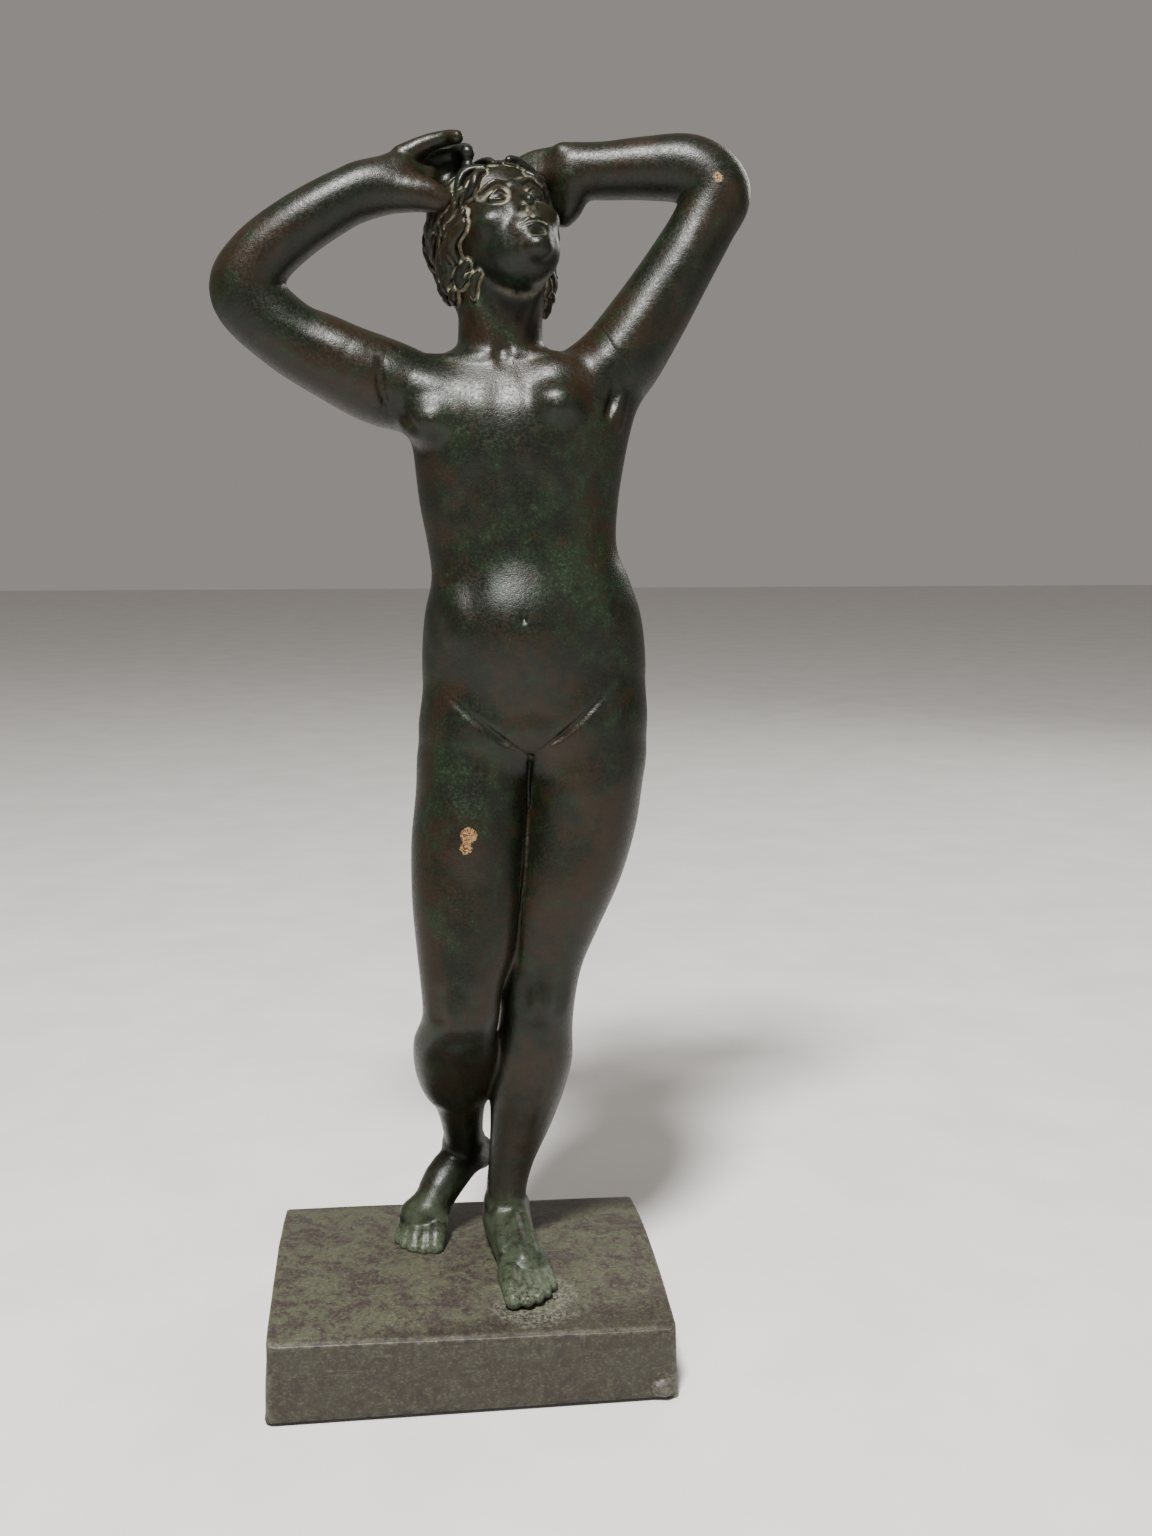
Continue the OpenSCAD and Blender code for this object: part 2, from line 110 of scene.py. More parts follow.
class Clay:
    """A block of clay: each cell of a grid holds its distance to the surface, in millimetres."""

    def __init__(self, low, high, cell):
        self.low = np.array(low, float)
        self.cell = cell
        self.shape = tuple(int(n) for n in np.ceil((np.array(high) - self.low) / cell) + 1)
        self.depth = np.full(self.shape, 40, np.float32)
        self.uncut = None

    def window(self, low, high, margin):
        """The cells in a box, as slices, and their open grids of coordinates."""
        first = np.floor((np.array(low) - margin - self.low) / self.cell).astype(int)
        last = np.ceil((np.array(high) + margin - self.low) / self.cell).astype(int) + 1
        first = np.clip(first, 0, self.shape)
        last = np.clip(last, 0, self.shape)
        part = tuple(slice(a, b) for a, b in zip(first, last))
        lines = [
            (self.low[i] + self.cell * np.arange(first[i], last[i])).astype(np.float32)
            for i in range(3)
        ]
        return part, lines[0][:, None, None], lines[1][None, :, None], lines[2][None, None, :]

    def add(self, form, blend=1.0):
        low, high, measure = form
        part, x, y, z = self.window(low, high, blend + 3 * self.cell)
        if 0 in self.depth[part].shape:
            return
        self.depth[part] = blend_min(self.depth[part], measure(x, y, z), blend)

    def cut(self, form, blend=1.0):
        low, high, measure = form
        part, x, y, z = self.window(low, high, blend + 3 * self.cell)
        if 0 in self.depth[part].shape:
            return
        self.depth[part] = -blend_min(-self.depth[part], measure(x, y, z), blend)

    def end_at(self, point, away, below=400.0):
        """Ends the clay a lap beyond the seam through a point, sunk under its neighbour's skin."""
        if self.uncut is None:
            self.uncut = self.depth.copy()
        high = self.low + self.cell * np.array(self.shape)
        part, x, y, z = self.window(self.low, np.minimum(high, [400, 400, below]), 0)
        beyond = (x - point[0]) * away[0] + (y - point[1]) * away[1] + (z - point[2]) * away[2]
        beyond = beyond.astype(np.float32)
        sunk = self.depth[part] + SINK * np.maximum(beyond, 0)
        self.depth[part] = np.maximum(sunk, beyond - LAP)

    def soften(self, passes, low=(-400, -400, -400), high=(400, 400, 400)):
        """Smooths the clay in a box with a wet thumb, to take the joints of its rolls away."""
        part = self.window(low, high, 0)[0]
        for _ in range(passes):
            for axis in range(3):
                field = np.moveaxis(self.depth[part], axis, 0)
                field[1:-1] = 0.5 * field[1:-1] + 0.25 * (field[:-2] + field[2:])

    def stand_on(self, ground, sink):
        """Trims the clay just below the ground that it stands on."""
        part, x, y, z = self.window(self.low, self.low + self.cell * np.array(self.shape), 0)
        self.depth[part] = np.maximum(self.depth[part], ground(x, y) - sink - z)

    def skin_y(self, x, z, back=False):
        """Where the skin is, looking along Y at a place, from the front or the back."""
        i, k = [int(round((v - self.low[n]) / self.cell)) for v, n in ((x, 0), (z, 2))]
        middle = self.shape[0] // 2
        while not (self.depth[i, :, k] < 0).any():
            i += 1 if i < middle else -1
        inside = np.flatnonzero(self.depth[i, :, k] < 0)
        return self.low[1] + self.cell * inside[-1 if back else 0]

    def on_skin(self, path, radius, depth, blend, fades, cutting, back):
        """A roll that marks the skin along places given as x and z, fading at its ends."""
        side = 1 if back else -1
        path = curve_through(path, 4)
        balls = []
        for n, (x, z) in enumerate(path):
            share = n / (len(path) - 1)
            here = depth
            if fades[0]:
                here *= min(1, share / fades[0])
            if fades[1]:
                here *= min(1, (1 - share) / fades[1])
            sunk = 2 * math.sqrt(blend * here) - blend
            offset = radius - sunk if cutting else sunk - radius
            balls.append([x, self.skin_y(x, z, back) + side * offset, z, radius])
        return roll(balls, 1)

    def groove(self, path, radius, depth, blend=1.5, back=False, fades=(0.35, 0.35)):
        self.cut(self.on_skin(path, radius, depth, blend, fades, True, back), blend)

    def ridge(self, path, radius, height, blend=1.5, back=False, fades=(0.35, 0.35)):
        self.add(self.on_skin(path, radius, height, blend, fades, False, back), blend)

    def sample(self, points):
        """The distance at any points, read between the cells, as it was before the seams."""
        depth = self.depth if self.uncut is None else self.uncut
        place = (points - self.low) / self.cell
        place = np.clip(place, 0, np.array(self.shape) - 1.001)
        base = place.astype(int)
        part = place - base
        total = 0
        for corner in range(8):
            step = np.array([corner >> 2 & 1, corner >> 1 & 1, corner & 1])
            share = np.prod(np.where(step, part, 1 - part), axis=1)
            at = base + step
            total = total + share * depth[at[:, 0], at[:, 1], at[:, 2]]
        return total


def oval(centre, radii, turn=None):
    """An egg of three radii, turned by a matrix if one is given."""
    centre = np.array(centre, float)
    radii = np.array(radii, float)
    reach = radii if turn is None else np.full(3, radii.max())

    def measure(x, y, z):
        dx, dy, dz = x - centre[0], y - centre[1], z - centre[2]
        if turn is not None:
            dx, dy, dz = [turn[0][i] * dx + turn[1][i] * dy + turn[2][i] * dz for i in range(3)]
        inner = np.sqrt((dx / radii[0]) ** 2 + (dy / radii[1]) ** 2 + (dz / radii[2]) ** 2)
        steep = np.sqrt((dx / radii[0] ** 2) ** 2 + (dy / radii[1] ** 2) ** 2
                        + (dz / radii[2] ** 2) ** 2)
        return inner * (inner - 1) / np.maximum(steep, 1e-4)

    return centre - reach, centre + reach, measure


def curve_through(rows, steps):
    """Rows of numbers with smooth extra rows between them."""
    rows = np.array(rows, float)
    padded = np.vstack([2 * rows[0] - rows[1], rows, 2 * rows[-1] - rows[-2]])
    out = []
    for i in range(len(rows) - 1):
        a, b, c, d = padded[i:i + 4]
        for t in np.arange(steps) / steps:
            out.append(0.5 * (2 * b + (c - a) * t + (2 * a - 5 * b + 4 * c - d) * t * t
                              + (3 * b - a - 3 * c + d) * t ** 3))
    out.append(rows[-1])
    return np.array(out)


def roll(balls, steps=3):
    """A roll of clay through balls given as x, y, z and radius."""
    balls = np.array(balls, float)
    if steps > 1 and len(balls) > 2:
        balls = curve_through(balls, steps)
    low = (balls[:, :3] - balls[:, 3:]).min(axis=0)
    high = (balls[:, :3] + balls[:, 3:]).max(axis=0)

    def measure(x, y, z):
        nearest = None
        for a, b in zip(balls, balls[1:]):
            along = b[:3] - a[:3]
            share = ((x - a[0]) * along[0] + (y - a[1]) * along[1] + (z - a[2]) * along[2])
            share = np.clip(share / max(along @ along, 1e-9), 0, 1)
            gap = np.sqrt((x - a[0] - share * along[0]) ** 2 + (y - a[1] - share * along[1]) ** 2
                          + (z - a[2] - share * along[2]) ** 2) - a[3] - share * (b[3] - a[3])
            nearest = gap if nearest is None else np.minimum(nearest, gap)
        return nearest

    return low, high, measure


def stack(rows, fullness=2.2):
    """A body of level sections, with the columns that TORSO has."""
    rows = curve_through(sorted(rows), 6)
    level = rows[:, 0]
    low = [(rows[:, 1] - rows[:, 2]).min(), (rows[:, 3] - rows[:, 4]).min(), level[0]]
    high = [(rows[:, 1] + rows[:, 2]).max(), (rows[:, 3] + rows[:, 5]).max(), level[-1]]

    def measure(x, y, z):
        middle, half, deep, front, back = [np.interp(z, level, rows[:, i]).astype(np.float32)
                                           for i in range(1, 6)]
        reach = np.where(y < deep, front, back)
        u = np.abs(x - middle) / half
        v = np.abs(y - deep) / reach
        inner = np.maximum((u ** fullness + v ** fullness) ** (1 / fullness), 1e-3)
        steep = np.sqrt((u ** (fullness - 1) / half) ** 2 + (v ** (fullness - 1) / reach) ** 2)
        steep = steep * inner ** (1 - fullness)
        side = (inner - 1) / np.maximum(steep, 1 / 60)
        return np.maximum(side, np.maximum(z - level[-1], level[0] - z))

    return low, high, measure


def mirrored(rows):
    """The same balls on the other side of the head."""
    return [[-r[0]] + list(r[1:]) for r in rows]


def turned(yaw=0.0, pitch=0.0, lean=0.0):
    """A matrix that turns about Z, then X, then Y, in degrees."""
    return np.array(Matrix.Rotation(math.radians(yaw), 3, 'Z')
                    @ Matrix.Rotation(math.radians(pitch), 3, 'X')
                    @ Matrix.Rotation(math.radians(lean), 3, 'Y'))


def posed(form, turn, origin):
    """A form made in a piece's own upright place, turned and moved to where the piece is."""
    low, high, measure = form
    corners = np.array([[(low, high)[i][0], (low, high)[j][1], (low, high)[k][2]]
                        for i in (0, 1) for j in (0, 1) for k in (0, 1)]) @ turn.T + origin

    def measure_posed(x, y, z):
        dx, dy, dz = x - origin[0], y - origin[1], z - origin[2]
        return measure(*[turn[0][i] * dx + turn[1][i] * dy + turn[2][i] * dz for i in range(3)])

    return corners.min(axis=0), corners.max(axis=0), measure_posed


# ---- the figure's sections and rows

# Height, middle x, half width, middle y, depth to the front, depth to the back.
TORSO = [
    [187, 21.5, 12, 6, 8, 8], [193, 22, 22, 6.5, 15, 15], [202, 23, 32.4, 7, 20.5, 22],
    [213, 24, 35, 7, 22.5, 24], [226, 24, 35.5, 6, 22, 22], [240, 23.5, 34, 4, 21, 19.5],
    [251, 22.8, 31, 4, 19, 17.5], [261, 20.4, 29.5, 4.5, 18, 17], [275, 19.4, 31, 5, 18.5, 18],
    [290, 19.8, 33, 5, 19.5, 20.5], [301, 20, 35, 5, 18.5, 20.5], [308, 19, 35, 6, 16.5, 18],
    [314, 17.5, 29, 7, 13.5, 14.5], [319, 15, 19, 8, 11, 11.6], [323, 14.2, 9, 8.5, 8, 8],
]
NECK = [
    [318, 14.2, 13.4, 8.5, 11.9, 12], [328, 14.2, 12.9, 8.5, 11.8, 11.8],
    [338, 14.6, 12.9, 8, 12.5, 12.5], [346, 14.8, 11, 7, 12, 12],
]
LEFT_LEG = [
    [224, 37, 12, 6, 13, 13], [216, 40.6, 15, 6, 17.4, 17.4],
    [208, 41.5, 17.4, 6, 20, 20], [196, 40.5, 19.4, 6, 21, 21], [186, 39.5, 19, 5, 20.5, 20.5],
    [172, 37.5, 18.8, 4, 19, 19], [156, 33.2, 18.2, 2, 17, 17], [140, 28, 16.2, 1, 14.5, 15],
    [128, 25.2, 13.6, 0, 13, 13], [117, 23.9, 12.4, -0.5, 12.5, 12.5],
    [106, 23.4, 12.1, 1, 11.5, 12.5], [94, 22.8, 12.8, 3, 12, 14], [82, 20.8, 12, 5, 11.5, 13],
    [70, 18.6, 10, 6, 9.5, 10.5], [58, 15.6, 7.6, 6, 7.8, 8.6], [48, 13.8, 6.7, 6, 7.8, 8.6],
    [38, 13.6, 6.8, 7, 9, 9], [29, 13.6, 6, 7, 9, 8.6],
]
RIGHT_LEG = [
    [223, 10, 11, 6, 13, 13], [215, 7, 14.6, 6, 17, 17],
    [207, 5.6, 16.8, 6, 19.5, 19.5], [196, 4.5, 18, 6, 20, 20], [184, 3.6, 17.8, 4, 20, 20],
    [168, 2, 18, 1, 18.5, 19], [152, 1.2, 17.4, -3, 16.5, 18], [136, 0.4, 15.4, -7, 14, 16],
    [124, -0.9, 13, -10, 12.2, 14], [114, -1.4, 12.2, -10.5, 11.5, 14.5],
    [104, -3.2, 13.4, -5, 11, 15], [94, -2.8, 13.7, 3, 11, 14], [84, -2, 12, 10, 10, 11],
    [73, -0.8, 8.2, 17, 8.5, 8.5], [62, 0.2, 6.8, 22, 7.6, 7.6], [54, 0.8, 6.6, 25.6, 7, 7],
    [47, 2.4, 4.6, 28, 5, 5],
]
# Balls of clay: x, y, z and radius.
LEFT_FOOT = [
    [13.4, 14, 35.5, 7.2], [14, 4, 37.2, 7.8], [15.4, -8, 34.4, 7.4], [17.6, -17, 31.8, 6],
]
LEFT_TOES = [
    [[12.6, -21, 31.6, 4], [13, -33.6, 28.9, 2.9]],
    [[16.8, -22, 31.2, 2.6], [17.4, -34.4, 28.8, 2.1]],
    [[19.8, -21, 31, 2.5], [20.8, -32.8, 28.8, 2]],
    [[22.2, -19, 30.8, 2.4], [23.6, -30, 28.8, 1.9]],
    [[24, -16, 30.4, 2.4], [25.8, -26, 28.9, 1.9]],
]
RIGHT_FOOT = [[5.5, 33, 49.5, 6.2], [0.5, 26, 51, 6.8], [-6.6, 19, 46, 7.2], [-12, 12.6, 38.4, 6]]
RIGHT_TOES = [
    [[-9.4, 9.4, 35, 4], [-10.4, 1.2, 30.4, 2.9]],
    [[-13, 9.2, 35.2, 2.8], [-14.4, 0.8, 30.1, 2.2]],
    [[-15.8, 10, 35, 2.7], [-17.7, 2.4, 30.1, 2.1]],
    [[-18.1, 11.4, 34.6, 2.6], [-20.4, 5, 30.1, 2]],
    [[-19.7, 13.4, 34, 2.6], [-22.2, 8.4, 30.1, 1.9]],
]
RIGHT_ARM = [
    [-9, 7, 307, 11.5], [-21.5, 6, 310.5, 13.2], [-36, 5.5, 316.5, 11.9], [-50, 5, 324, 10.8],
    [-61.6, 4.5, 335.5, 10.9], [-58, 3, 345, 9.8], [-47.5, 2, 354, 9], [-34.5, 2, 362, 8.4],
    [-24, 3, 367, 7.8], [-17.5, 4, 369.6, 6.9],
]
LEFT_ARM = [
    [40, 7, 308.5, 13.6], [49.5, 6.5, 316.5, 13.2], [59.5, 6, 330.5, 11.9], [69, 6.2, 345.5, 10.6],
    [77, 6.8, 359, 10], [81, 8, 368.8, 10.7], [73.5, 10, 375.7, 10.3], [60, 13, 376.5, 9.3],
    [48, 15.5, 376, 8.6], [38, 17, 376, 8.4],
]
RIGHT_FINGERS = [
    [[-15, 5, 376, 3.6], [-8, 4.4, 379.7, 2.7], [-1.6, 2.4, 381.2, 2.3], [1.2, -1.6, 380.6, 2]],
    [[-10, 9.5, 374.5, 3.4], [-1, 9.4, 378, 2.8], [3.4, 5.4, 378.2, 2.5], [4.3, 0, 376.6, 2.2]],
    [[-10, 9.5, 371, 3.4], [0, 9.4, 374, 2.7], [4, 5.4, 374, 2.4], [4.5, 0.4, 372.6, 2.1]],
    [[-10, 8.6, 367.5, 3.2], [-1, 8.8, 370, 2.5], [2.6, 5.2, 370.2, 2.2], [3, 1, 369, 2]],
    [[-15, 1.6, 367, 5], [-8, -0.6, 365, 4.2], [-2.6, -1, 362.8, 3]],
]
LEFT_FINGERS = [
    [[27, 21, 378, 3], [19, 26, 378.6, 2.8], [11, 27.5, 376.4, 2.4]],
    [[26, 22, 374.4, 3.1], [17.6, 27.6, 374.4, 2.7], [9, 29, 372.4, 2.3]],
    [[26, 22, 370.6, 3], [17.6, 28, 370, 2.6], [10, 29.4, 368, 2.2]],
    [[28, 21, 367, 2.9], [20, 27.4, 365.6, 2.5], [13, 29, 363.6, 2.1]],
]
NECK_SEAM = [14, 8, 327]
RIGHT_SEAM = [-22, 6, 311]
LEFT_SEAM = [49, 6.4, 319.5]
RIGHT_AWAY = np.array([-1, 0, 0.08]) / np.hypot(1, 0.08)
LEFT_AWAY = np.array([0.84, 0, 0.54]) / np.hypot(0.84, 0.54)
CROWN_TOP, CROWN_R, CROWN_FALL = 29.2, 247.7, math.tan(math.radians(1))
SHOULDER_BLEND = 5.0


def crown(x, y):
    """The height of the plinth's rounded top."""
    return CROWN_TOP - CROWN_FALL * x - CROWN_R + np.sqrt(CROWN_R ** 2 - y * y)


def fold_shoulder(clay):
    """The fold where the raised right arm meets the chest."""
    clay.groove([[-22.4, 318], [-22.9, 311.5], [-22, 305.5], [-19.6, 300]], 1.2, 1.0, 1.5,
                fades=(0.4, 0.25))


def swell_shoulder(clay):
    """The full front of the left shoulder, which runs over the seam."""
    clay.ridge([[38, 308], [45, 314.6], [51.6, 322], [60, 333]], 5, 0.7, 4)


def add_neck(clay):
    """The neck with the muscles that run from behind the ears to the collar bones."""
    clay.add(stack(NECK), 4)
    clay.ridge([[26, 341], [22.4, 334], [19, 326], [15.8, 317]], 2.4, 0.9, 2)
    clay.ridge([[3, 340], [6.4, 333], [9.4, 326], [12, 317]], 2.4, 0.7, 2)
    clay.ridge([[14.4, 338], [14, 324]], 3, 0.5, 2.4)


# ---- modelling the castings

CELL = 0.5


def model_body():
    clay = Clay([-27, -42, 25], [64, 45, 344], CELL)
    clay.add(stack(RIGHT_LEG), 0)
    clay.add(stack(LEFT_LEG), 1.4)
    clay.add(stack(TORSO), 7)
    for x, y, z in ((9, 13.5, 206), (38.5, 14.5, 208)):
        clay.add(oval([x, y, z], [16.5, 17.5, 18]), 5)
    clay.add(roll(RIGHT_ARM[:4], 6), SHOULDER_BLEND)
    clay.add(roll(LEFT_ARM[:4], 6), SHOULDER_BLEND)
    add_neck(clay)
    clay.soften(7)
    # Chest
    for x, z in ((-7, 298.6), (30, 303)):
        clay.add(oval([x, clay.skin_y(x, z + 6) + 7.8, z + 6], [10, 8.6, 9.6]), 5)
        clay.add(oval([x, clay.skin_y(x, z) + 5.2, z], [9.6, 9.2, 7.8]), 2.6)
        tip = clay.skin_y(x, z - 0.6)
        clay.add(oval([x - 0.8, tip + 0.5, z - 0.6], [1.3, 1.0, 1.3]), 0.9)
    clay.groove([[12.6, 314], [11.8, 304], [11.4, 292]], 5, 0.4, 4)
    clay.ridge([[10.6, 317.4], [3, 316.8], [-7, 317]], 1.9, 0.5, 2, fades=(0.1, 0.5))
    clay.ridge([[16.6, 318.2], [23, 318.2], [30, 317.6]], 1.9, 0.5, 2, fades=(0.1, 0.5))
    clay.groove([[13.6, 322], [13.6, 319.4], [13.4, 316.5]], 2.2, 0.7, 2)
    # The front of the armpits
    clay.ridge([[-6, 306], [-14, 309], [-20, 312]], 5, 0.4, 4)
    swell_shoulder(clay)
    clay.groove([[45, 298.6], [46.6, 303.6], [49, 309]], 1.5, 1.5, 1.6)
    clay.ridge([[47.6, 296], [49.2, 301], [50.2, 307.4]], 1.7, 0.6, 1.6, fades=(0.5, 0.3))
    fold_shoulder(clay)
    clay.groove([[-13, 294], [-16, 299], [-19.4, 303]], 1.8, 0.9, 2)
    # Ribs and belly
    clay.groove([[10.4, 286], [4, 281], [-2, 272], [-5, 262]], 5, 0.3, 5)
    clay.groove([[12.6, 286], [20, 281.5], [29, 274], [34, 265]], 5, 0.3, 5)
    clay.groove([[11, 284], [13, 268], [16, 256]], 4, 0.3, 4)
    for x, z in ((1, 258), (30, 262)):
        clay.groove([[x, z + 12], [x - 0.6, z], [x + 1.6, z - 18]], 5, 0.3, 5)
    clay.add(oval([18.4, clay.skin_y(18, 234) + 12.2, 233], [20, 14, 19]), 9)
    clay.groove([[18.6, 241.8], [18.6, 240.4], [18.5, 239]], 1.0, 0.7, 1.0)
    clay.groove([[19, 232], [20, 220], [20.6, 208]], 3, 0.3, 3)
    # Hips and groin
    clay.ridge([[0, 246], [1, 239], [4, 232]], 4.4, 0.45, 5)
    clay.ridge([[43, 250], [41, 242], [38, 235]], 4.4, 0.45, 5)
    clay.groove([[-6, 217.6], [4.6, 208.6], [12.6, 202.6], [21.2, 197.4]], 0.9, 1.1, 1.3,
                fades=(0.75, 0))
    clay.groove([[50, 223], [40, 212.8], [31.6, 204.8], [21.2, 197.4]], 0.9, 1.1, 1.3,
                fades=(0.75, 0))
    clay.add(oval([21, clay.skin_y(19, 204) + 7.4, 205], [10, 7.4, 7.5]), 4)
    clay.groove([[21.2, 196.6], [21, 187], [20.9, 177], [19.6, 160], [17.8, 147.5], [16.4, 130]],
                0.8, 1.7, 1.0, fades=(0.06, 0.2))
    # Thighs, knees and shins
    clay.groove([[-6, 192], [-3, 170], [1, 146]], 7, 0.5, 7)
    clay.groove([[36, 190], [33, 168], [27, 142]], 7, 0.5, 7)
    for x, z in ((-3, 118), (24.2, 117)):
        clay.ridge([[x, z + 5], [x, z - 4]], 5.2, 1.0, 3)
        clay.groove([[x - 6.6, z + 9], [x - 6.8, z - 4]], 2.8, 0.5, 3)
        clay.groove([[x + 6.6, z + 9], [x + 6.8, z - 4]], 2.8, 0.5, 3)
        clay.ridge([[x, z - 11], [x, z - 17]], 3, 0.5, 3)
    clay.ridge([[24, 104], [22.4, 84], [17.4, 62]], 2.4, 0.5, 2.4)
    clay.ridge([[-2.6, 103], [-1, 84], [0.6, 66]], 2.4, 0.5, 2.4)
    # The front of the right thigh, over a core pin's plug
    clay.add(oval([2.5, -9.4, 169.6], [9, 8.4, 17]), 4)
    # Calves
    for x, y, z in ((18.6, 9, 92), (26, 8.4, 90), (-7, 9.4, 90), (1.4, 9, 91)):
        clay.add(oval([x, y, z], [6.2, 8.6, 13]), 4)
    # Back
    clay.groove([[14.6, 316], [17, 298], [19.6, 276], [22.4, 254], [24, 238]], 5.4, 2.0, 6, True)
    for path in ([[-4, 311], [1.5, 300], [3.5, 288]], [[40, 313], [35.5, 302], [33.5, 290]]):
        clay.ridge(path, 5.4, 1.3, 5, True)
    clay.groove([[-12, 296], [-4, 284], [4, 276]], 4, 0.5, 4, True)
    clay.groove([[50, 300], [42, 287], [35, 278]], 4, 0.5, 4, True)
    # The long muscles beside the spine, over another plug
    for x in (16.6, 30.4):
        clay.add(oval([x, 14.4, 246], [9, 10.2, 18]), 5)
    for x in (15.6, 32):
        clay.groove([[x, 234], [x, 233], [x, 231.6]], 3.4, 0.5, 3.4, True)
    clay.groove([[24, 229], [24.2, 221], [23.6, 210], [22.6, 199], [22, 190]], 2.4, 2.3, 2.2, True)
    clay.groove([[-6, 191], [4, 188], [14, 188.4], [20.6, 192]], 1.8, 0.9, 3, True)
    clay.groove([[23, 192.4], [31, 190], [42, 190], [51, 194]], 1.8, 0.9, 3, True)
    for x, z in ((-1, 122), (24, 122)):
        clay.groove([[x, z + 12], [x, z], [x, z - 9]], 3.8, 0.9, 3.6, True)
    # Feet
    clay.add(roll(LEFT_FOOT), 3)
    clay.add(oval([18.2, -15.4, 31.6], [8.4, 7.6, 4.8]), 3)
    clay.add(oval([-14.2, 12.4, 37.4], [8, 6.4, 4.6], turned(pitch=32)), 3.4)
    clay.add(oval([-13.2, 12.4, 32.8], [7.4, 6.4, 5.6]), 2.5)
    clay.add(roll(RIGHT_FOOT), 3)
    for x, y, z, r in ((8.8, 5.4, 43.6, 2.6), (18.8, 7.6, 41.4, 2.6), (-4.2, 24, 57.4, 2.5),
                       (5.2, 23, 58.4, 2.5)):
        clay.add(oval([x, y, z], [r, r * 1.25, r * 1.2]), 2)
    clay.add(roll([[13.6, 15, 60, 2.8], [13.4, 17.6, 46, 2.6], [13.4, 18, 37, 3.4]]), 3)
    for toes in (LEFT_TOES, RIGHT_TOES):
        for root, tip in toes:
            root, tip = np.array(root), np.array(tip)
            bend = root * 0.42 + tip * 0.58 + [0, 0, 0.7, 0.05]
            waist = root * 0.2 + tip * 0.8 + [0, 0, 0.25, -0.08]
            clay.add(roll([root, bend, waist, tip + [0, 0, 0.1, 0.05]], 4), 0.5)
    for path in ([[10, -2], [10.6, -16]], [[15.4, -6], [17, -20]], [[19.6, -4], [21.6, -18]]):
        (x, y), (end_x, end_y) = path
        clay.add(roll([[x, y, 43, 0.7], [end_x, end_y, 36, 0.7]]), 2.2)
    clay.soften(2, high=(64, 45, 58))
    for root, tip in LEFT_TOES:
        x, y, z, size = tip
        nail = oval([x, y - 0.2 * size, z + size + 0.8], [size * 0.6, size * 0.6, 0.8])
        clay.cut(nail, 0.25)
    clay.end_at(NECK_SEAM, [0, 0, 1])
    clay.end_at(RIGHT_SEAM, RIGHT_AWAY)
    clay.end_at(LEFT_SEAM, LEFT_AWAY)
    clay.stand_on(crown, 0.5)
    return clay


def model_right_arm():
    clay = Clay([-75, -14, 294], [10, 24, 388], 0.4)
    clay.add(stack(TORSO), 0)
    clay.add(roll(RIGHT_ARM, 6), SHOULDER_BLEND)
    clay.soften(9)
    fold_shoulder(clay)
    clay.ridge([[-26, 314.6], [-32, 317.6], [-40, 322]], 7, 0.5, 5)
    clay.groove([[-34, 313], [-44, 317.6], [-54, 324]], 4, 0.3, 4)
    clay.add(oval([-65.6, 8, 335], [4.2, 4.4, 5]), 3)
    clay.add(oval([-23, 8, 372.4], [2.4, 2.2, 2.2]), 2)
    # The cupped palm, with its heel and the ball of the thumb in front
    clay.add(roll([[-16, 6, 371.4, 6.2], [-11, 8.6, 371.6, 5.4], [-8, 9, 371, 4.8]]), 2.4)
    clay.add(roll([[-27, 3, 365.6, 7.4], [-19, 1.4, 365.4, 6.4], [-11, 0, 364.6, 5.2],
                   [-5, -1, 362.6, 3.6]]), 2.6)
    clay.cut(oval([-5.4, 1, 375], [5.6, 4.6, 3.4]), 1.2)
    for finger in RIGHT_FINGERS:
        clay.add(roll(finger, 5), 0.6)
    clay.soften(4, (-34, -14, 354))
    clay.end_at(RIGHT_SEAM, -RIGHT_AWAY, below=342)
    return clay


def model_left_arm():
    clay = Clay([10, -16, 294], [95, 34, 390], 0.4)
    clay.add(stack(TORSO), 0)
    clay.add(roll(LEFT_ARM, 6), SHOULDER_BLEND)
    clay.soften(9)
    swell_shoulder(clay)
    clay.groove([[59, 318], [66, 330], [73, 343]], 4, 0.5, 4)
    clay.ridge([[64, 336], [70, 346], [76, 356]], 5, 0.5, 4)
    clay.add(oval([85.6, 9.4, 370], [4, 4.4, 4.4]), 3)
    clay.add(oval([34, 14.4, 381.2], [2.8, 2.6, 2.4]), 2)
    # The hand is a flat plate behind the head
    clay.add(oval([30, 20, 371], [9.6, 3.6, 11.4]), 2.4)
    clay.add(roll([[37, 16.6, 377.4, 6.3], [31, 18.4, 379.2, 4], [25, 20.4, 379.4, 2.8],
                   [19.6, 21.6, 377.8, 1.7]]), 1.6)
    clay.add(roll([[37, 16, 372, 6.6], [36, 16.4, 366, 5], [35, 17, 362.4, 3.2]]), 2.4)
    clay.add(roll([[33, 17, 374.6, 5], [27, 18.6, 374.4, 4.2], [22, 20, 374.6, 2.6]]), 2.4)
    for finger in LEFT_FINGERS:
        clay.add(roll(finger, 5), 0.6)
    clay.soften(2, (10, -16, 352), (44, 34, 390))
    clay.end_at(LEFT_SEAM, -LEFT_AWAY, below=345)
    return clay


HEAD_AT = np.array([13.4, 8, 354.6])
HEAD_TURN = turned(lean=-9) @ turned(yaw=21) @ turned(pitch=-35)


